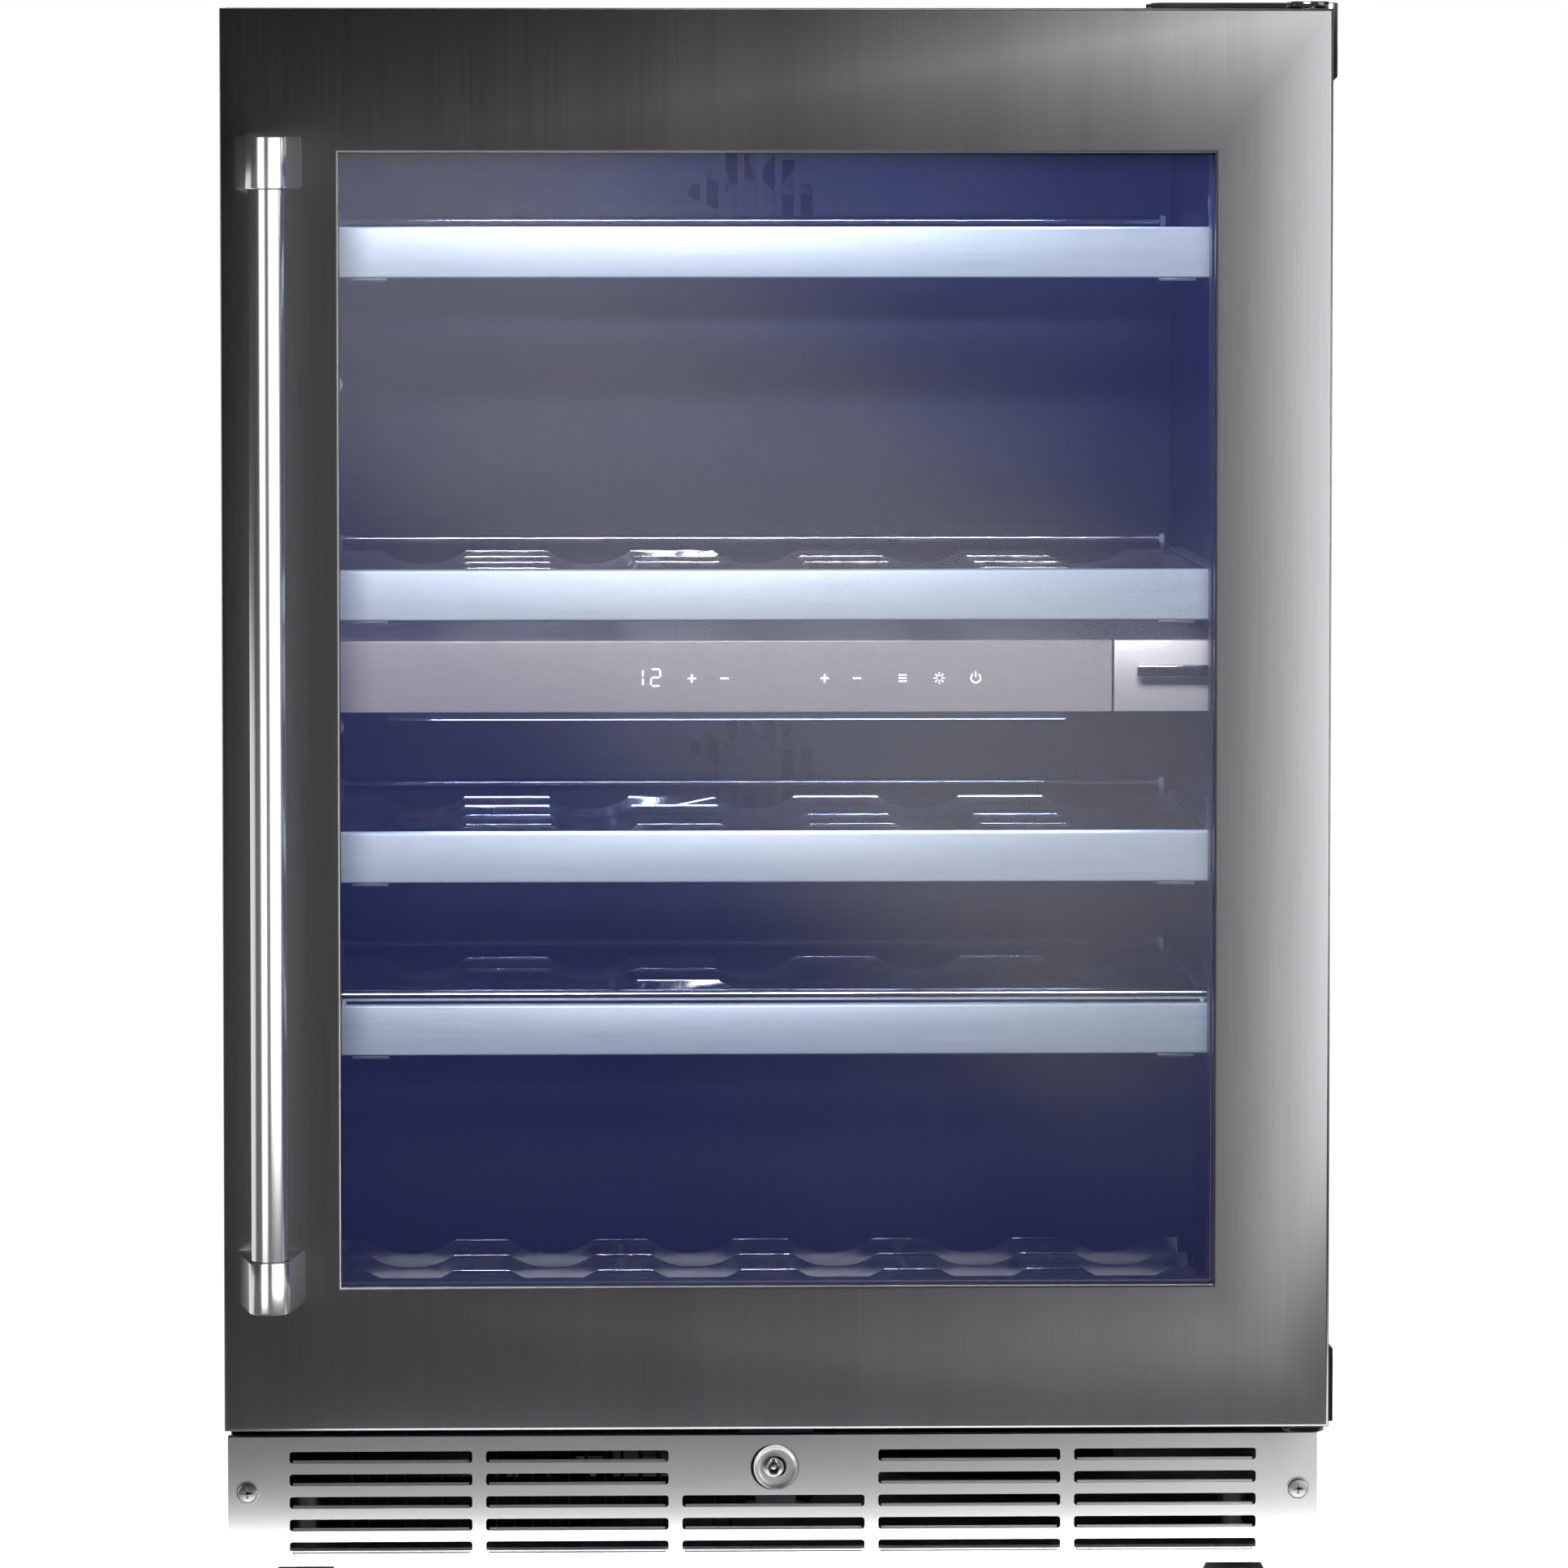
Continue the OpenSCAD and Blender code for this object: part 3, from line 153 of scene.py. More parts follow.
def plinth_stainless():
    """Stainless steel, belt ground level: paler, with level lines."""
    return brushed("plinth_stainless", ("#b4b4b4", "#d6d6d5"), 0, 1.2, 0.36, "X")


def handle_stainless():
    """Stainless tube drawn and finely ground lengthwise: narrow bright bands."""
    return brushed("handle_stainless", ("#a9a9aa", "#d9d9d9"), 2, 0.8, 0.17, "Z", 0.3)


def fascia_aluminium():
    """Aluminium, brushed level and clear anodised: pale with short level lines."""
    return brushed("fascia_aluminium", ("#b4c4d9", "#dbe5f0"), 0, 1.1, 0.42, "X", 0.5, 0.3)


def fin_aluminium():
    """Mill-finish aluminium fins: bright with rolling lines."""
    return brushed("fin_aluminium", ("#a4a6aa", "#c9cbce"), 2, 1.0, 0.3, "Z", 0.4)


def polished_steel():
    """Steel, nickel plated and polished: mirror bright with faint handling marks."""
    material, tree, place = begin("polished_steel")
    marks = add(tree, "TexNoise", {0: place, "Scale": sized(6.25), "Detail": 4.0}).outputs[0]
    coat(tree, marks, ("#c6c8ca", "#dfe0e1"), (0.08, 0.18), Metallic=1.0)
    return material


def zinc_steel():
    """Steel, zinc plated: grey with a faint blue and dull patches."""
    material, tree, place = begin("zinc_steel")
    patches = add(tree, "TexNoise", {0: place, "Scale": sized(11), "Detail": 6.0}).outputs[0]
    coat(tree, patches, ("#9a9ea2", "#bcc0c4"), (0.28, 0.45), bump=0.02 * MM, Metallic=1.0)
    return material


def galvanised_steel():
    """Sheet steel, hot dip galvanised: flat crystals 8 mm across in slightly different greys."""
    material, tree, place = begin("galvanised_steel")
    crystal = add(tree, "TexVoronoi", {0: place, "Scale": sized(8), "Randomness": 1.0})
    shade = add(tree, "SeparateColor", {0: crystal.outputs["Color"]}).outputs[0]
    coat(tree, shade, ("#8b9093", "#aeb3b6"), (0.34, 0.5), span=(0.0, 1.0), Metallic=1.0)
    return material


def coated_steel():
    """Sheet steel, powder coated black: satin with the coat's 1 mm orange peel."""
    material, tree, place = begin("coated_steel")
    peel = add(tree, "TexNoise", {0: place, "Scale": sized(1.1), "Detail": 2.0}).outputs[0]
    wear = add(tree, "TexNoise", {0: place, "Scale": sized(71), "Detail": 5.0}).outputs[0]
    coat(tree, wear, ("#141416", "#1d1d20"), (0.34, 0.46), relief=peel, bump=0.06 * MM)
    return material


def gloss_black():
    """ABS moulded in a polished tool: black with clear reflections and soft flow marks."""
    material, tree, place = begin("gloss_black")
    flow = add(tree, "TexNoise", {0: place, "Scale": sized(25), "Detail": 3.0}).outputs[0]
    coat(tree, flow, ("#0b0b0c", "#131315"), (0.12, 0.22), Coat_Weight=0.4)
    return material


def moulded(name, colours, rough, grain=0.9):
    """A plastic moulding with the spark grain of its tool, drawn coarser than its 0.1 mm."""
    material, tree, place = begin(name)
    spark = add(tree, "TexNoise", {0: place, "Scale": sized(grain), "Detail": 3.0}).outputs[0]
    drift = add(tree, "TexNoise", {0: place, "Scale": sized(111), "Detail": 3.0}).outputs[0]
    coat(tree, drift, colours, (rough - 0.05, rough + 0.07), feel=spark, bump=0.04 * MM)
    return material


def liner_plastic():
    """High impact polystyrene, vacuum formed: dark blue-grey, satin."""
    return moulded("liner_plastic", ("#060a1d", "#0a0f27"), 0.38)


def duct_plastic():
    """Polypropylene moulding: dark blue-grey, a little duller than the liner."""
    return moulded("duct_plastic", ("#090d25", "#0e132e"), 0.5)


def fan_plastic():
    """Glass-filled nylon moulding: black, dull."""
    return moulded("fan_plastic", ("#18181a", "#232326"), 0.55)


def frame_plastic():
    """PVC extrusion of the door's inner frame: near black, satin."""
    return moulded("frame_plastic", ("#1b1b1f", "#26262b"), 0.42)


def pad_plastic():
    """Acetal sliding pads and stops: smoky grey."""
    return moulded("pad_plastic", ("#4b4f58", "#676c77"), 0.3)


def nylon():
    """Cast nylon of the hinge bushes: creamy white, waxy."""
    return moulded("nylon", ("#d2d0c6", "#dedcd3"), 0.4)


def probe_plastic():
    """White ABS of the temperature probes."""
    return moulded("probe_plastic", ("#c4c4c2", "#d6d6d4"), 0.4)


def seal_rubber():
    """Flexible PVC of the magnetic seal: dark grey, dull and very fine grained."""
    return moulded("seal_rubber", ("#26272b", "#303136"), 0.62, 0.6)


def mount_rubber():
    """Nitrile rubber of the compressor's mounts and the feet's pads: black, dusty."""
    return moulded("mount_rubber", ("#161616", "#242423"), 0.75, 2.0)


def panel_acrylic():
    """Acrylic panel, painted grey on its back: smooth, with a clear gloss."""
    material, tree, place = begin("panel_acrylic")
    drift = add(tree, "TexNoise", {0: place, "Scale": sized(200), "Detail": 2.0}).outputs[0]
    coat(tree, drift, ("#a39ea2", "#ada8ad"), (0.22, 0.32), Coat_Weight=0.5)
    return material


def drawer_front_aluminium():
    """Aluminium, bead blasted and anodised: pale grey with a fine sparkle.

    Real bead marks are near 0.1 mm. They are drawn 0.7 mm across so that they show.
    """
    material, tree, place = begin("drawer_front_aluminium")
    blast = add(tree, "TexNoise", {0: place, "Scale": sized(0.67), "Detail": 2.0}).outputs[0]
    coat(tree, blast, ("#d8d8de", "#e8e8ec"), (0.34, 0.46), bump=0.02 * MM, Metallic=0.6)
    return material


def light_lens():
    """Opal acrylic over light-emitting diodes 17 mm apart: cold white, brighter at each."""
    material, tree, place = begin("light_lens")
    cells = add(tree, "TexVoronoi", {0: place, "Scale": sized(16.7), "Randomness": 0.15}).outputs[0]
    power = add(tree, "MapRange", {0: cells, 1: 0.0, 2: 1.0, 3: 9.0, 4: 5.0}).outputs[0]
    coat(
        tree, cells, ("#e8effa", "#e4ebf6"), (0.3, 0.5), span=(0.0, 1.0),
        Emission_Color=linear("#bfd0ff"), Emission_Strength=power,
    )
    return material


def lit_mark():
    """A mark lit from behind through the panel: cool white with a soft edge."""
    material, tree, place = begin("lit_mark")
    glow = add(tree, "TexNoise", {0: place, "Scale": sized(1.4)}).outputs[0]
    power = add(tree, "MapRange", {0: glow, 1: 0.3, 2: 0.7, 3: 2.2, 4: 3.0}).outputs[0]
    coat(
        tree, glow, ("#dde4fd", "#e1e8ff"), (0.38, 0.42),
        Emission_Color=linear("#dfe6ff"), Emission_Strength=power,
    )
    return material


def pane_glass():
    """Tinted low-emissivity float glass: smoky blue, mostly clear, with faint smears."""
    material, tree, place = begin("pane_glass")
    smears = add(tree, "TexNoise", {0: place, "Scale": sized(143), "Detail": 3.0}).outputs[0]
    coat(tree, smears, ("#0c112f", "#0e1331"), (0.11, 0.16), Alpha=0.22)
    return material


def spacer_aluminium():
    """Black anodised aluminium spacer with the holes, 3 mm apart, over its drying beads."""
    material, tree, place = begin("spacer_aluminium")
    holes = add(tree, "TexVoronoi", {0: place, "Scale": sized(3), "Randomness": 0.0}).outputs[0]
    shade = add(tree, "MapRange", {0: holes, 1: 0.1, 2: 0.2, 3: 1.0, 4: 0.0}).outputs[0]
    coat(tree, shade, ("#141518", "#050506"), (0.5, 0.35), feel=holes, Metallic=0.7)
    return material


def insulation_foam():
    """Rigid polyurethane foam: cream, with closed cells about 1 mm across."""
    material, tree, place = begin("insulation_foam")
    cells = add(tree, "TexVoronoi", {0: place, "Scale": sized(1.1)}).outputs[0]
    coat(tree, cells, ("#d9c98d", "#eadfae"), (0.8, 0.95), bump=0.3 * MM, span=(0.0, 1.0))
    return material


def enamelled_steel(name, colours, rough):
    """Steel dipped in enamel: a smooth coat with slow waves."""
    material, tree, place = begin(name)
    waves = add(tree, "TexNoise", {0: place, "Scale": sized(18), "Detail": 3.0}).outputs[0]
    coat(tree, waves, colours, (rough, rough + 0.12), bump=0.1 * MM)
    return material


def compressor_enamel():
    """Black stove enamel on the compressor's drawn shell."""
    return enamelled_steel("compressor_enamel", ("#0c0c0d", "#161618"), 0.22)


def condenser_enamel():
    """Black dip enamel on the condenser's fins and tube."""
    return enamelled_steel("condenser_enamel", ("#1d1d1f", "#2b2b2e"), 0.4)


def copper():
    """Drawn copper tube: warm, with brown patches of oxide."""
    material, tree, place = begin("copper")
    oxide = add(tree, "TexNoise", {0: place, "Scale": sized(22), "Detail": 6.0}).outputs[0]
    shade = add(tree, "MapRange", {0: oxide, 1: 0.3, 2: 0.7, 3: 0.0, 4: 1.0}).outputs[0]
    coat(tree, shade, ("#b06a45", "#7a452c"), (0.25, 0.5), feel=oxide, Metallic=1.0)
    return material


def circuit_board():
    """Glass-fibre board under green solder resist, with copper tracks 2 mm apart."""
    material, tree, place = begin("circuit_board")
    # a brick's rows are a quarter of the pattern's size apart
    tracks = add(tree, "TexBrick", {0: place, "Scale": sized(4 * 2.08)}).outputs["Fac"]
    coat(tree, tracks, ("#1d5a34", "#3a8050"), (0.45, 0.25), span=(0.0, 1.0))
    return material


def studio_floor():
    """Matt white acrylic board with 4 mm roller marks. Its glow is painted light: full white behind the
    door's front and faint in front of it, a painted shade there.
    """
    material, tree, place = begin("studio_floor")
    roller = add(tree, "TexNoise", {0: place, "Scale": sized(4), "Detail": 2.0}).outputs[0]
    depth = add(tree, "SeparateXYZ", {0: place}).outputs[1]
    # painted light: the floor glows fully behind the door's front and only faintly in front of it, a
    # painted shade on the floor there
    glow = add(tree, "MapRange", {0: depth, 1: -0.24, 2: -0.14, 3: 0.05, 4: 1.0}).outputs[0]
    coat(
        tree, roller, ("#f2f2f2", "#f8f8f8"), (0.83, 0.87),
        Emission_Color=linear("#ffffff"), Emission_Strength=glow,
    )
    return material


def finish(make):
    """The material that a function makes, made once."""
    return bpy.data.materials.get(make.__name__) or make()


# ---- Shapes ----


def copy_of(node):
    """A bmesh of a model node's own mesh, with its triangles joined into flat faces."""
    bm = bmesh.new()
    bm.from_mesh(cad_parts[node].data)
    bmesh.ops.remove_doubles(bm, verts=bm.verts, dist=MERGE)
    bmesh.ops.dissolve_limit(
        bm, angle_limit=math.radians(0.5), verts=bm.verts, edges=bm.edges
    )
    return bm


def soften(bm, edges, radius, segments=2):
    """Rounds the given edges."""
    bmesh.ops.bevel(
        bm,
        geom=edges,
        offset=radius,
        segments=segments,
        affect="EDGES",
        profile=0.5,
        material=-1,
    )


def corners(bm, least=50):
    """The edges where two faces meet outwards at more than the least angle in degrees."""
    limit = math.radians(least)
    return [
        edge
        for edge in bm.edges
        if len(edge.link_faces) == 2 and edge.calc_face_angle_signed(0) > limit
    ]


def add_block(bm, low, high, radius=0.0, segments=2):
    """A block between two corners with rounded edges."""
    low, high = Vector(low), Vector(high)
    made = bmesh.ops.create_cube(bm, size=1.0)["verts"]
    bmesh.ops.scale(bm, vec=high - low, verts=made)
    bmesh.ops.translate(bm, vec=(low + high) / 2, verts=made)
    if radius:
        soften(bm, list({e for v in made for e in v.link_edges}), radius, segments)


def add_rod(bm, start, stop, radius, sides=32, edge=0.0):
    """A round bar between two points, its end rims rounded."""
    start, stop = Vector(start), Vector(stop)
    turn = UP.rotation_difference(stop - start).to_matrix().to_4x4()
    place = Matrix.Translation((start + stop) / 2) @ turn
    made = bmesh.ops.create_cone(
        bm,
        cap_ends=True,
        segments=sides,
        radius1=radius,
        radius2=radius,
        depth=(stop - start).length,
        matrix=place,
    )["verts"]
    if edge:
        rims = {e for v in made for e in v.link_edges if len(e.link_faces) == 2}
        soften(bm, [e for e in rims if e.calc_face_angle(0) > 1], edge, 3)


def add_turned(bm, axis_point, axis, profile, steps=48):
    """A turned shape: profile points are (distance along the axis, radius)."""
    axis = Vector(axis)
    side = axis.orthogonal().normalized()
    at = [Vector(axis_point) + axis * a + side * r for a, r in profile]
    verts = [bm.verts.new(p) for p in at]
    edges = [bm.edges.new(pair) for pair in zip(verts, verts[1:])]
    bmesh.ops.spin(
        bm,
        geom=verts + edges,
        cent=axis_point,
        axis=axis,
        angle=2 * math.pi,
        steps=steps,
        use_merge=True,
    )
    bmesh.ops.remove_doubles(bm, verts=bm.verts, dist=MERGE)


def add_loop(bm, x0, x1, z0, z1, y, radius, segments=4):
    """The outline of an upright rectangle with rounded corners, as edges."""
    points = ((x0, y, z0), (x1, y, z0), (x1, y, z1), (x0, y, z1))
    verts = [bm.verts.new(p) for p in points]
    bm.faces.new(verts)
    bmesh.ops.bevel(
        bm,
        geom=verts,
        offset=radius,
        segments=segments,
        affect="VERTICES",
        profile=0.5,
        material=-1,
    )


def publish(bm, name, make, body, replaces=(), outwards=True):
    """Turns a bmesh into a finished piece that rides on a body."""
    if outwards:
        bmesh.ops.remove_doubles(bm, verts=bm.verts, dist=MERGE)
        bmesh.ops.recalc_face_normals(bm, faces=bm.faces)
    mesh = bpy.data.meshes.new(name)
    bm.to_mesh(mesh)
    bm.free()
    mesh.materials.append(finish(make))
    mesh.shade_smooth()
    mesh.set_sharp_from_angle(angle=SHARP)
    piece = bpy.data.objects.new(name, mesh)
    bpy.context.scene.collection.objects.link(piece)
    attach(piece, body)
    if replaces:
        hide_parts(*replaces)
    return piece


def softened(node, name, make, body, radius, segments=2, pick=None):
    """A node's own shape with its outer edges rounded, standing for the node."""
    bm = copy_of(node)
    edges = [edge for edge in corners(bm) if pick is None or pick(edge)]
    soften(bm, edges, radius, segments)
    return publish(bm, name, make, body, (node,), outwards=False)


def dress(make, *nodes):
    """Gives nodes that are shown as they are their material."""
    for name in nodes:
        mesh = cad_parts[name].data
        mesh.materials.clear()
        mesh.materials.append(finish(make))
        mesh.shade_smooth()
        mesh.set_sharp_from_angle(angle=SHARP)


def middle(node):
    """The middle of a node's box."""
    low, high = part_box(node)
    return (Vector(low) + Vector(high)) / 2


# ---- Sizes and colours ----


class WineCoolerSizes(bpy.types.PropertyGroup):
    """Sizes that only the finish needs."""

    fold: bpy.props.FloatProperty(
        name="Door fold", description="Radius of the door skin's folds",
        default=0.002, min=0.0005, max=0.003, unit="LENGTH",
    )
    sheet_edge: bpy.props.FloatProperty(
        name="Sheet edge", description="Rounding of cut sheet edges",
        default=0.0003, min=0.0001, max=0.0005, unit="LENGTH",
    )
    moulding_edge: bpy.props.FloatProperty(
        name="Moulding edge", description="Rounding of moulded parts",
        default=0.0008, min=0.0003, max=0.0015, unit="LENGTH",
    )
    fascia_edge: bpy.props.FloatProperty(
        name="Fascia edge", description="Rounding along the shelf fascias",
        default=0.0013, min=0.0005, max=0.0014, unit="LENGTH",
    )
    pad_width: bpy.props.FloatProperty(
        name="Pad width", description="Width of the pads under the fascias",
        default=0.020, min=0.01, max=0.03, unit="LENGTH",
    )
    stop_height: bpy.props.FloatProperty(
        name="Stop height", description="Height of the shelf stops above the fascia",
        default=0.017, min=0.008, max=0.02, unit="LENGTH",
    )
    mark_line: bpy.props.FloatProperty(
        name="Mark line", description="Line width of the lit marks on the panel",
        default=0.0010, min=0.0005, max=0.002, unit="LENGTH",
    )


class WineCoolerColours(bpy.types.PropertyGroup):
    """Colours of the light in the studio."""

    background: bpy.props.FloatVectorProperty(
        name="Background", description="Colour seen behind the object",
        subtype="COLOR", size=4, default=linear("#ffffff"), min=0, max=1,
    )
    surroundings: bpy.props.FloatVectorProperty(
        name="Surroundings", description="Colour of the room in reflections",
        subtype="COLOR", size=4, default=linear("#67676a"), min=0, max=1,
    )
    cabinet_light: bpy.props.FloatVectorProperty(
        name="Cabinet light", description="Colour of the diodes inside",
        subtype="COLOR", size=3, default=linear("#b9cbff")[:3], min=0, max=1,
    )


# ---- Operators ----


class WINECOOLER_OT_cabinet(bpy.types.Operator):
    """Makes the folded steel cabinet, its back, covers and liner"""

    bl_idname = "wine_cooler.cabinet"
    bl_label = "Cabinet"

    def execute(self, context):
        edge = context.scene.wine_cooler_sizes.sheet_edge
        softened("outer_wrap", "cabinet_wrap", coated_steel, "cabinet", 3 * edge)
        softened("front_frame", "cabinet_front", coated_steel, "cabinet", edge, 1)
        softened("back_panel", "rear_panel", galvanised_steel, "cabinet", edge, 1)
        softened("anti_tip_bracket", "wall_bracket", galvanised_steel, "cabinet", edge)
        dress(galvanised_steel, "compartment_panel", "base_tray", "machine_cover")
        dress(liner_plastic, "inner_liner")
        dress(insulation_foam, "foam_insulation")
        return {"FINISHED"}


class WINECOOLER_OT_hinges(bpy.types.Operator):
    """Makes the hinge plates, their covers, pins, bushes and screws"""

    bl_idname = "wine_cooler.hinges"
    bl_label = "Hinges"

    def execute(self, context):
        sizes = context.scene.wine_cooler_sizes
        softened(
            "hinge_brackets", "hinge_plates", gloss_black, "cabinet",
            2 * sizes.sheet_edge,
        )
        softened(
            "hinge_covers", "hinge_caps", gloss_black, "cabinet",
            sizes.moulding_edge, 3,
        )
        dress(coated_steel, "cabinet_screws")
        dress(polished_steel, "hinge_pins")
        dress(nylon, "hinge_bushes")
        return {"FINISHED"}


class WINECOOLER_OT_door(bpy.types.Operator):
    """Makes the door's folded skin, its lining and panes"""

    bl_idname = "wine_cooler.door"
    bl_label = "Door"

    def execute(self, context):
        sizes = context.scene.wine_cooler_sizes
        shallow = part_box("door_skin")[0].y + sizes.fold

        def fold(edge):
            """The long edges round the door's face and its window."""
            ends = [v.co for v in edge.verts]
            long = (ends[0] - ends[1]).length > 0.1
            return long and all(p.y < shallow for p in ends)

        softened(
            "door_skin", "door_face", door_stainless, "door",
            sizes.fold * 0.9, 4, fold,
        )
        softened(
            "door_lining", "door_frame", frame_plastic, "door",
            sizes.moulding_edge, 2, lambda e: e.calc_length() > 0.1,
        )
        dress(pane_glass, "outer_glass", "inner_glass")
        dress(spacer_aluminium, "glass_spacer")
        dress(insulation_foam, "door_foam")
        dress(zinc_steel, "handle_screws")
        dress(coated_steel, "lock_strike")
        return {"FINISHED"}


class WINECOOLER_OT_seal(bpy.types.Operator):
    """Makes the door's magnetic seal: a bellows carried round the frame"""

    bl_idname = "wine_cooler.seal"
    bl_label = "Seal"

    def execute(self, context):
        low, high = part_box("door_seal")
        half_width = (high.x - low.x) / 2
        width = 12 * MM
        foot = 3 * MM
        front = low.y + foot
        depth = high.y - front
        # from the foot round the bellows: share of the width inwards, share of the depth back
        outline = [
            (0.36, -foot / depth), (0.64, -foot / depth), (0.60, 0.0), (0.90, 0.05), (0.80, 0.22),
            (0.98, 0.40), (0.84, 0.58), (1.0, 0.74), (0.98, 1.0), (0.02, 1.0), (0.0, 0.74),
            (0.16, 0.58), (0.02, 0.40), (0.20, 0.22), (0.10, 0.05), (0.40, 0.0),
        ]
        centre = middle("door_seal")
        bm = bmesh.new()
        rings = []
        for sx, sz in ((-1, -1), (1, -1), (1, 1), (-1, 1)):
            ring = []
            for inwards, back in outline:
                x = centre.x + sx * (half_width - inwards * width)
                z = centre.z + sz * ((high.z - low.z) / 2 - inwards * width)
                ring.append(bm.verts.new((x, front + back * depth, z)))
            rings.append([bm.edges.new((a, b)) for a, b in zip(ring, ring[1:] + ring[:1])])
        for first, second in zip(rings, rings[1:] + rings[:1]):
            bmesh.ops.bridge_loops(bm, edges=first + second)
        publish(bm, "seal_bellows", seal_rubber, "door", ("door_seal",))
        return {"FINISHED"}


class WINECOOLER_OT_handle(bpy.types.Operator):
    """Makes the handle's tube and its two end mounts"""

    bl_idname = "wine_cooler.handle"
    bl_label = "Handle"

    def execute(self, context):
        low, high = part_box("handle_tube")
        centre = middle("handle_tube")
        radius = (high.x - low.x) / 2
        bm = bmesh.new()
        start = (centre.x, centre.y, low.z)
        stop = (centre.x, centre.y, high.z)
        add_rod(bm, start, stop, radius, 96, 0.0006)
        publish(bm, "handle_bar", handle_stainless, "door", ("handle_tube",))
        softened(
            "handle_mounts", "handle_posts", handle_stainless, "door",
            0.0009, 3,
        )
        return {"FINISHED"}


class WINECOOLER_OT_plinth(bpy.types.Operator):
    """Makes the plinth grille with its air slots and turned-in lips"""

    bl_idname = "wine_cooler.plinth"
    bl_label = "Plinth"

    columns = 5
    rows = 5
    slot_width = 99.6 * MM
    slot_height = 6.4 * MM
    pitch_x = 107.1 * MM
    pitch_z = 12.4 * MM
    top_margin = 8.1 * MM
    sheet = 1.0 * MM
    corner = 1.6 * MM
    screw_in = 10.5 * MM
    screw_z = 54.0 * MM
    screw_hole = 2.0 * MM

    def slots(self, low, high):
        """The lower left corner of each slot; the middle column leaves room for the lock."""
        centre = (low.x + high.x) / 2
        for column in range(self.columns):
            x = centre + (column - self.columns // 2) * self.pitch_x - self.slot_width / 2
            first = 2 if column == self.columns // 2 else 0
            for row in range(first, self.rows):
                yield x, high.z - self.top_margin - self.slot_height - row * self.pitch_z

    def execute(self, context):
        low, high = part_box("toe_kick_grille")
        centre = (low.x + high.x) / 2
        lock_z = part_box("lock_housing")[1].z - LOCK_RIM
        bm = bmesh.new()
        add_loop(bm, low.x, high.x, low.z, high.z, low.y, 1.2 * MM)
        for x, z in self.slots(low, high):
            add_loop(bm, x, x + self.slot_width, z, z + self.slot_height, low.y, self.corner)
        bmesh.ops.delete(bm, geom=bm.faces[:], context="FACES_ONLY")
        turn = Matrix.Rotation(math.pi / 2, 4, "X")
        for x, z, radius in (
            (centre, lock_z, LOCK_RIM),
            (low.x + self.screw_in, self.screw_z, self.screw_hole),
            (high.x - self.screw_in, self.screw_z, self.screw_hole),
        ):
            bmesh.ops.create_circle(
                bm, cap_ends=False, segments=40, radius=radius,
                matrix=Matrix.Translation((x, low.y, z)) @ turn,
            )
        bmesh.ops.triangle_fill(bm, use_beauty=True, use_dissolve=True, edges=bm.edges[:])
        back = bmesh.ops.extrude_face_region(bm, geom=bm.faces[:])["geom"]
        moved = [v for v in back if isinstance(v, bmesh.types.BMVert)]
        bmesh.ops.translate(bm, vec=(0, self.sheet, 0), verts=moved)
        bmesh.ops.recalc_face_normals(bm, faces=bm.faces)
        # returned edges and the lips under the slots
        y0, y1 = low.y + self.sheet / 2, high.y
        for z in (low.z, high.z - self.sheet):
            add_block(bm, (low.x, y0, z), (high.x, y1, z + self.sheet), 0.0003)
        for x in (low.x, high.x - self.sheet):
            add_block(bm, (x, y0, low.z), (x + self.sheet, y1, high.z), 0.0003)
        lip = self.slot_width - 2 * self.corner
        for x, z in self.slots(low, high):
            x += self.corner
            add_block(bm, (x, y0, z - self.sheet), (x + lip, y1 - 2 * MM, z), 0.0003, 1)
            add_block(
                bm, (x, y0 + 2 * MM, z - self.sheet), (x + lip, y0 + 3 * MM, z + 1.3 * MM), 0.0003, 1,
            )
        publish(
            bm, "plinth_grille", plinth_stainless, "cabinet",
            ("toe_kick_grille",), outwards=False,
        )
        return {"FINISHED"}


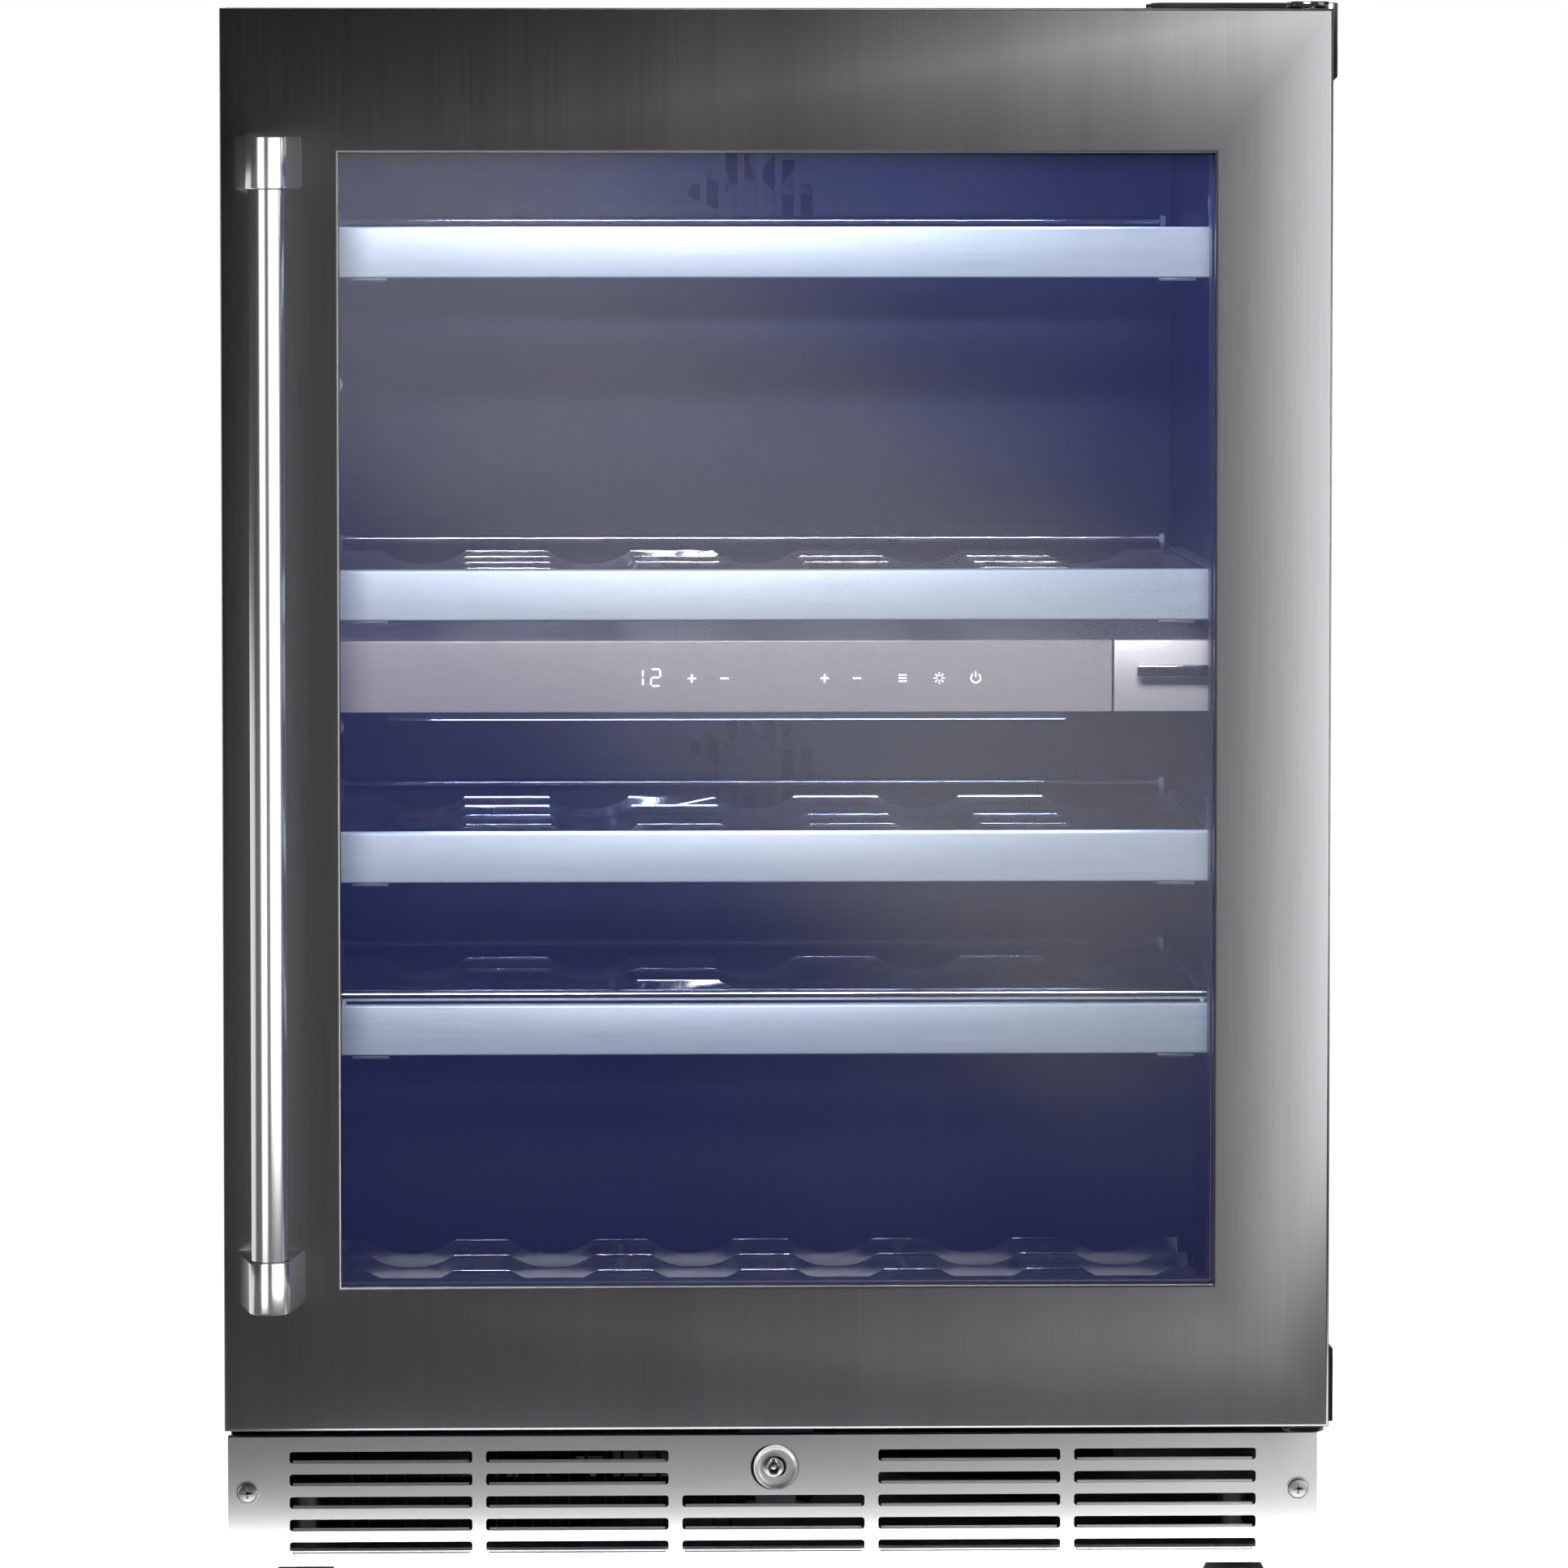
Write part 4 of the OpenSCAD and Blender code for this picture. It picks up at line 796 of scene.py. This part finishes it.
class WINECOOLER_OT_plinth_fittings(bpy.types.Operator):
    """Makes the plinth's screws, its lock and the feet"""

    bl_idname = "wine_cooler.plinth_fittings"
    bl_label = "Plinth fittings"

    def execute(self, context):
        low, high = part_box("kick_screws")
        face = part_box("toe_kick_grille")[0].y
        height_z = (low.z + high.z) / 2
        head = (high.z - low.z) / 2
        bm = bmesh.new()
        dimples = bmesh.new()
        for x in (low.x + head, high.x - head):
            at = (x, face, height_z)
            add_turned(dimples, at, (0, -1, 0), [
                (0.0, 6.4 * MM), (0.35 * MM, 6.1 * MM), (0.35 * MM, head + 0.5 * MM), (0.0, head),
            ])
            add_turned(bm, at, (0, -1, 0), [
                (0.0, head), (1.5 * MM, head), (1.9 * MM, head - 0.4 * MM),
                (2.15 * MM, head * 0.5), (2.2 * MM, 0.0),
            ])
        publish(dimples, "plinth_dimples", plinth_stainless, "cabinet")
        piece = publish(
            bm, "plinth_screws", door_stainless, "cabinet", ("kick_screws",)
        )
        cutter = bmesh.new()
        for x in (low.x + head, high.x - head):
            for half in ((2.9, 0.55), (0.55, 2.9)):
                low_end = (x - half[0] * MM, face - 3.4 * MM, height_z - half[1] * MM)
                high_end = (x + half[0] * MM, face - 1.1 * MM, height_z + half[1] * MM)
                add_block(cutter, low_end, high_end)
        carve(piece, cutter)
        edge = context.scene.wine_cooler_sizes.sheet_edge
        softened("lock_cylinder", "lock_plug_turned", door_stainless, "lock_plug", edge)
        self.lock_dish(face)
        softened("lock_bolt", "lock_bar", zinc_steel, "lock_latch", 2 * edge)
        softened("levelling_feet", "feet_pads", mount_rubber, "feet", 2 * edge)
        return {"FINISHED"}

    def lock_dish(self, face):
        """The sunk rim round the lock in the plinth's steel, and the sleeve and guide behind it."""
        at = (middle("lock_cylinder").x, face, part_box("lock_housing")[1].z - LOCK_RIM)
        depth = 1.9 * MM
        outer = LOCK_RIM - 0.1 * MM
        bm = bmesh.new()
        add_turned(bm, at, (0, -1, 0), [
            (-depth, 5.7 * MM), (-depth, 9.4 * MM), (0.12 * MM - depth, 9.9 * MM),
            (-0.25 * MM, 11.6 * MM), (0.0, 12.1 * MM), (0.0, outer), (-3 * MM, outer),
        ])
        publish(bm, "lock_dish", plinth_stainless, "cabinet")
        bm = copy_of("lock_housing")
        front = [v for v in bm.verts if v.co.y < face + 3.2 * MM]
        bmesh.ops.delete(bm, geom=front, context="VERTS")
        publish(bm, "lock_sleeve", zinc_steel, "cabinet", ("lock_housing",))


def carve(piece, cutter_bm):
    """Cuts a shape out of a piece for good."""
    mesh = bpy.data.meshes.new("cutter")
    cutter_bm.to_mesh(mesh)
    cutter_bm.free()
    cutter = bpy.data.objects.new("cutter", mesh)
    bpy.context.scene.collection.objects.link(cutter)
    cut = piece.modifiers.new("carve", "BOOLEAN")
    cut.operation = "DIFFERENCE"
    cut.solver = "EXACT"
    cut.use_self = True
    cut.object = cutter
    graph = bpy.context.evaluated_depsgraph_get()
    carved = bpy.data.meshes.new_from_object(piece.evaluated_get(graph))
    piece.modifiers.clear()
    piece.data = carved
    bpy.data.objects.remove(cutter)
    carved.set_sharp_from_angle(angle=SHARP)


class WINECOOLER_OT_shelves(bpy.types.Operator):
    """Makes the four bottle shelves: racks, fascias, pads and stops"""

    bl_idname = "wine_cooler.shelves"
    bl_label = "Shelves"

    def execute(self, context):
        sizes = context.scene.wine_cooler_sizes
        for n in SHELVES:
            body = f"shelf_{n}"
            softened(
                f"shelf_fascia_{n}", f"fascia_{n}", fascia_aluminium, body,
                sizes.fascia_edge, 3, lambda e: e.calc_length() > 0.008,
            )
            softened(
                f"shelf_rack_{n}", f"rack_{n}", polished_steel, body,
                sizes.sheet_edge, 1, lambda e: e.calc_length() > 0.03,
            )
            self.pads(sizes, n, body)
        dress(zinc_steel, "cabinet_slides")
        softened(
            "floor_rack", "rack_floor", polished_steel, "cabinet",
            sizes.sheet_edge, 1, lambda e: e.calc_length() > 0.03,
        )
        return {"FINISHED"}

    def pads(self, sizes, n, body):
        """The sliding pads under a fascia and the stops above its ends."""
        low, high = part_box(f"shelf_fascia_{n}")
        bm = bmesh.new()
        inset = 17 * MM
        for x in (low.x + inset, high.x - inset - sizes.pad_width):
            add_block(
                bm, (x, low.y + MM, low.z - 1.8 * MM),
                (x + sizes.pad_width, high.y + 4 * MM, low.z), 0.0004,
            )
        for side in (-1, 1):
            x = high.x - 9 * MM if side > 0 else low.x + 3 * MM
            y = high.y + 1 * MM
            add_block(
                bm, (x, y, high.z - 10 * MM),
                (x + 6 * MM, y + 3 * MM, high.z + sizes.stop_height), 0.0006,
            )
            hook = x if side > 0 else x + 3 * MM
            add_block(
                bm, (hook, y + 2 * MM, high.z + 0.62 * sizes.stop_height),
                (hook + 3 * MM, y + 9 * MM, high.z + sizes.stop_height), 0.0006,
            )
        publish(bm, f"fascia_pads_{n}", pad_plastic, body)


class WINECOOLER_OT_divider(bpy.types.Operator):
    """Makes the divider, the control panel with its lit marks, and the drawer"""

    bl_idname = "wine_cooler.divider"
    bl_label = "Divider and panel"

    def execute(self, context):
        sizes = context.scene.wine_cooler_sizes
        softened(
            "control_panel", "panel_face", panel_acrylic, "cabinet",
            sizes.moulding_edge, 3,
        )
        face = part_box("control_panel")[0].y + MM
        softened(
            "accessory_drawer", "drawer_box", drawer_front_aluminium, "drawer",
            sizes.moulding_edge, 3, lambda e: all(v.co.y < face for v in e.verts),
        )
        softened("drawer_pull", "drawer_bar", polished_steel, "drawer", 0.0009, 3)
        dress(duct_plastic, "zone_divider")
        dress(circuit_board, "display_board")
        self.marks(sizes.mark_line)
        return {"FINISHED"}

    def stroke(self, bm, x0, z0, x1, z1, width):
        """A thin raised line on the panel's face, from one point to another."""
        start, stop = Vector((x0, 0, z0)), Vector((x1, 0, z1))
        run = stop - start
        made = bmesh.ops.create_cube(bm, size=1.0)["verts"]
        bmesh.ops.scale(bm, vec=(run.length + width * 0.6, 0.0002, width), verts=made)
        angle = math.atan2(-run.z, run.x)
        bmesh.ops.rotate(bm, matrix=Matrix.Rotation(angle, 3, "Y"), verts=made)
        bmesh.ops.translate(bm, vec=(start + stop) / 2, verts=made)

    def marks(self, line):
        """Two seven-bar digits, two pairs of plus and minus, and three touch keys."""
        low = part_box("control_panel")[0]
        cabinet = middle("inner_liner").x
        bm = bmesh.new()

        def bars(x, z, w, h, lit):
            """One digit; the bars are named from the top clockwise, with g in the middle."""
            m = z + h / 2
            places = {
                "a": (x, z + h, x + w, z + h), "b": (x + w, m, x + w, z + h),
                "c": (x + w, z, x + w, m), "d": (x, z, x + w, z), "e": (x, z, x, m),
                "f": (x, m, x, z + h), "g": (x, m, x + w, m),
            }
            for name in lit:
                x0, z0, x1, z1 = places[name]
                trim = Vector((x1 - x0, z1 - z0)).normalized() * line * 0.8
                self.stroke(bm, x0 + trim.x, z0 + trim.y, x1 - trim.x, z1 - trim.y, line)

        digit_z = low.z + 14.5 * MM
        bars(cabinet - 76 * MM, digit_z, 5 * MM, 9 * MM, "bc")
        bars(cabinet - 66.6 * MM, digit_z, 5 * MM, 9 * MM, "abged")
        key_z = low.z + 18.5 * MM
        for x, plus in ((-44.4, True), (-26.7, False), (27.7, True), (45.3, False)):
            x = cabinet + x * MM
            self.stroke(bm, x - 2 * MM, key_z, x + 2 * MM, key_z, line)
            if plus:
                self.stroke(bm, x, key_z - 2 * MM, x, key_z + 2 * MM, line)
        x = cabinet + 70.1 * MM
        for step in (-1, 0, 1):
            z = key_z + step * 1.7 * MM
            self.stroke(bm, x - 2 * MM, z, x + 2 * MM, z, line * 0.8)
        x = cabinet + 90 * MM
        for k in range(8):
            dx, dz = math.cos(k * math.pi / 4), math.sin(k * math.pi / 4)
            near, far = 1.3 * MM, 3 * MM
            self.stroke(bm, x + dx * near, key_z + dz * near, x + dx * far, key_z + dz * far, line * 0.6)
        x = cabinet + 109.8 * MM
        ring = 2.6 * MM
        turns = [math.radians(90 + 40 + 280 * k / 12) for k in range(13)]
        for a, b in zip(turns, turns[1:]):
            self.stroke(
                bm, x + ring * math.cos(a), key_z + ring * math.sin(a),
                x + ring * math.cos(b), key_z + ring * math.sin(b), line * 0.7,
            )
        self.stroke(bm, x, key_z + 0.6 * MM, x, key_z + 3.4 * MM, line * 0.7)
        bmesh.ops.translate(bm, vec=(0, low.y, 0), verts=bm.verts)
        publish(bm, "panel_marks", lit_mark, "cabinet")


class WINECOOLER_OT_cold_parts(bpy.types.Operator):
    """Finishes the fans, ducts, coils, probes and lights"""

    bl_idname = "wine_cooler.cold_parts"
    bl_label = "Cold parts and lights"

    def execute(self, context):
        sizes = context.scene.wine_cooler_sizes
        softened(
            "duct_covers", "duct_shells", duct_plastic, "cabinet",
            sizes.moulding_edge, 2, lambda e: e.calc_length() > 0.1,
        )
        softened("light_bars", "light_lenses", light_lens, "cabinet", sizes.moulding_edge)
        dress(fan_plastic, "fan_frames", "condenser_fan", "upper_fan", "lower_fan")
        dress(fin_aluminium, "evaporators")
        dress(probe_plastic, "temperature_sensors")
        return {"FINISHED"}


class WINECOOLER_OT_machinery(bpy.types.Operator):
    """Finishes the compressor, condenser, pipes and inlet"""

    bl_idname = "wine_cooler.machinery"
    bl_label = "Machinery"

    def execute(self, context):
        sizes = context.scene.wine_cooler_sizes
        dress(compressor_enamel, "compressor")
        dress(mount_rubber, "compressor_mounts")
        dress(condenser_enamel, "condenser_coil")
        dress(copper, "refrigerant_tubes")
        softened("drip_tray", "drip_pan", duct_plastic, "cabinet", sizes.moulding_edge)
        softened("power_inlet", "lead_inlet", fan_plastic, "cabinet", sizes.sheet_edge)
        return {"FINISHED"}


class WINECOOLER_OT_stage(bpy.types.Operator):
    """Makes the camera, the pale floor and the soft studio light"""

    bl_idname = "wine_cooler.stage"
    bl_label = "Stage"

    def execute(self, context):
        self.camera(context.scene)
        self.world(context.scene)
        self.floor(context.scene)
        self.groups(context.scene)
        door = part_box("door_skin")[0].y
        white = linear("#ffffff")[:3]
        warm = linear("#fbf6c4")[:3]
        # name, what it lights, place, target, width, height, watts, spread, roll, colour
        for lamp in (
            ("inside_high", "inside", (-0.15, door - 1.5, 1.45), (0, 0, 0.5),
             1.0, 0.5, 48, 80, 0, white),
            ("door_side", "door", (0.6, door - 0.9, 0.46), (0.25, door, 0.45),
             0.24, 1.5, 6.8, 180, 0, white),
            ("glass_card", "glass", (0.05, door - 3.0, 0.47), (0.05, door, 0.47),
             1.1, 0.36, 7, 180, -39, warm),
            ("plinth_low", "door", (0.03, door + 0.012, 0.004), (0.03, door + 0.07, 0.012),
             0.8, 0.02, 0.4, 180, 0, white),
            ("fold_low", "face", (0.05, door - 0.08, 0.006), (0.05, door - 0.08, 1.0),
             0.75, 0.12, 1.2, 180, 0, white),
            ("fold_right", "face", (1.5, door - 0.12, 0.45), (0, door, 0.45),
             0.2, 1.8, 20, 180, 0, white),
            ("fold_left", "face", (-1.5, door + 0.08, 0.45), (0, door, 0.45),
             0.3, 1.8, 9, 180, 0, white),
            ("fold_top", "face", (0.0, door - 0.15, 2.3), (0, door, 0.5),
             1.4, 0.2, 20, 180, 0, white),
            ("handle_right", "handle", (0.32, door - 0.5, 0.5), (-0.26, door, 0.5),
             1.1, 1.2, 9, 180, 0, white),
            ("handle_left", "handle", (-0.5, door - 0.5, 0.5), (-0.26, door, 0.5),
             0.32, 1.2, 2.6, 180, 0, white),
            ("right_soft", "rest", (2.2, door - 0.6, 1.3), (0.0, 0.1, 0.4),
             1.4, 1.6, 30, 180, 0, white),
            ("top_soft", "rest", (0.2, 0.2, 3.2), (0.0, 0.2, 0.3),
             3.0, 2.4, 30, 180, 0, white),
            ("back_soft", "rest", (-1.4, 2.8, 2.2), (0.0, 0.0, 0.5),
             2.4, 2.0, 40, 180, 0, white),
        ):
            self.lamp(context.scene, *lamp)
        self.cabinet_lamps(context.scene)
        return {"FINISHED"}

    def groups(self, scene):
        """Lists what each lamp lights, as flags and screens would in the studio."""
        outside = ("door_stainless", "plinth_stainless", "handle_stainless")
        for piece in [each for each in scene.objects if each.type == "MESH"]:
            material = piece.data.materials[0].name
            wanted = {
                "inside": material not in (*outside, "studio_floor"),
                "glass": material == "pane_glass",
                "face": material == "door_stainless",
                "door": material in ("door_stainless", "plinth_stainless"),
                "handle": material == "handle_stainless",
                "rest": material in ("coated_steel", "galvanised_steel", "gloss_black"),
            }
            for name, is_lit in wanted.items():
                name = "lit_" + name
                group = bpy.data.collections.get(name) or bpy.data.collections.new(name)
                if is_lit:
                    group.objects.link(piece)

    def camera(self, scene):
        """The camera stands a little left of the middle and above it, five metres away."""
        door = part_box("door_skin")[0].y
        eye = Vector((-170.5 * MM, door - 5100 * MM, 778 * MM))
        target = Vector((-0.1 * MM, door, 445.3 * MM))
        frame_width = 840.8 * MM
        data = bpy.data.cameras.new("camera")
        data.sensor_width = 36
        data.lens = data.sensor_width * (target - eye).length / frame_width
        data.clip_end = 60
        camera = bpy.data.objects.new("camera", data)
        camera.location = eye
        camera.rotation_euler = (target - eye).to_track_quat("-Z", "Y").to_euler()
        scene.collection.objects.link(camera)
        scene.camera = camera

    def world(self, scene):
        """Plain white behind the object, and a dimmer room, lighter to the right, around it."""
        colours = scene.wine_cooler_colours
        world = bpy.data.worlds.new("studio")
        world.use_nodes = True
        tree = world.node_tree
        tree.nodes.clear()
        way = add(tree, "TexCoord").outputs["Generated"]
        side = add(tree, "SeparateXYZ", {0: way})
        level = add(tree, "MapRange", {0: side.outputs[0], 1: -0.2, 2: 0.6, 3: 0.05, 4: 0.5})
        above = add(tree, "MapRange", {0: side.outputs[2], 1: 0.3, 2: 0.9, 3: 0.0, 4: 0.5})
        share = add(tree, "Math", {0: level.outputs[0], 1: above.outputs[0]}).outputs[0]
        room = add(tree, "Background", {"Color": tuple(colours.surroundings), "Strength": share})
        white = add(tree, "Background", {"Color": tuple(colours.background), "Strength": 1.0})
        seen = add(tree, "LightPath").outputs["Is Camera Ray"]
        both = add(tree, "MixShader", {0: seen, 1: room.outputs[0], 2: white.outputs[0]})
        add(tree, "OutputWorld", {"Surface": both.outputs[0]})
        scene.world = world
        scene.view_settings.view_transform = "Standard"

    def floor(self, scene):
        """A pale floor under the feet."""
        bm = bmesh.new()
        bmesh.ops.create_grid(bm, x_segments=8, y_segments=8, size=14.0)
        mesh = bpy.data.meshes.new("floor")
        bm.to_mesh(mesh)
        bm.free()
        mesh.materials.append(finish(studio_floor))
        floor = bpy.data.objects.new("floor", mesh)
        scene.collection.objects.link(floor)

    def lamp(
        self, scene, name, lights, place, target, width, tall, watts, spread, roll, colour
    ):
        """A soft rectangular lamp that faces its target and lights one group."""
        data = bpy.data.lights.new(name, "AREA")
        data.shape = "RECTANGLE"
        data.size = width
        data.size_y = tall
        data.energy = watts
        data.spread = math.radians(spread)
        data.color = colour
        lamp = bpy.data.objects.new(name, data)
        lamp.location = place
        aim = (Vector(target) - Vector(place)).to_track_quat("-Z", "Y")
        lamp.rotation_euler = (aim @ Quaternion((0, 0, 1), math.radians(roll))).to_euler()
        lamp.visible_camera = False
        lamp.light_linking.receiver_collection = bpy.data.collections["lit_" + lights]
        scene.collection.objects.link(lamp)

    def cabinet_lamps(self, scene):
        """The diodes' light in the two zones, just under their lenses."""
        colour = tuple(scene.wine_cooler_colours.cabinet_light)
        low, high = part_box("light_bars")
        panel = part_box("control_panel")[0]
        y = low.y + 8 * MM
        wide = high.x - low.x
        lamps = (("upper_diodes", high.z - 9 * MM, 4.0), ("lower_diodes", panel.z - 7 * MM, 2.2))
        for name, z, watts in lamps:
            place = Vector((0, y + 8 * MM, z))
            target = place + Vector((0, 0.12, -0.3))
            self.lamp(scene, name, "inside", place, target, wide * 0.9, 0.012, watts, 180, 0, colour)


OPERATORS = (
    WINECOOLER_OT_cabinet,
    WINECOOLER_OT_hinges,
    WINECOOLER_OT_door,
    WINECOOLER_OT_seal,
    WINECOOLER_OT_handle,
    WINECOOLER_OT_plinth,
    WINECOOLER_OT_plinth_fittings,
    WINECOOLER_OT_shelves,
    WINECOOLER_OT_divider,
    WINECOOLER_OT_cold_parts,
    WINECOOLER_OT_machinery,
    WINECOOLER_OT_stage,
)


class WINECOOLER_PT_panel(bpy.types.Panel):
    """Sizes, colours and one button for each group of pieces"""

    bl_idname = "WINECOOLER_PT_panel"
    bl_label = "Wine Cooler"
    bl_space_type = "VIEW_3D"
    bl_region_type = "UI"
    bl_category = "Wine Cooler"

    def draw(self, context):
        for group in (context.scene.wine_cooler_sizes, context.scene.wine_cooler_colours):
            for name in group.bl_rna.properties.keys():
                if name not in ("rna_type", "name"):
                    self.layout.prop(group, name)
        for operator in OPERATORS:
            self.layout.operator(operator.bl_idname)


CLASSES = (WineCoolerSizes, WineCoolerColours, *OPERATORS, WINECOOLER_PT_panel)


def register():
    """Adds the classes and the scene's settings."""
    for cls in CLASSES:
        bpy.utils.register_class(cls)
    bpy.types.Scene.wine_cooler_sizes = bpy.props.PointerProperty(type=WineCoolerSizes)
    bpy.types.Scene.wine_cooler_colours = bpy.props.PointerProperty(type=WineCoolerColours)


def unregister():
    """Takes the settings and the classes away again."""
    del bpy.types.Scene.wine_cooler_colours
    del bpy.types.Scene.wine_cooler_sizes
    for cls in reversed(CLASSES):
        bpy.utils.unregister_class(cls)


def main():
    """Makes every piece in order."""
    register()
    for operator in OPERATORS:
        group, name = operator.bl_idname.split(".")
        getattr(getattr(bpy.ops, group), name)()


if __name__ == "__main__":
    main()
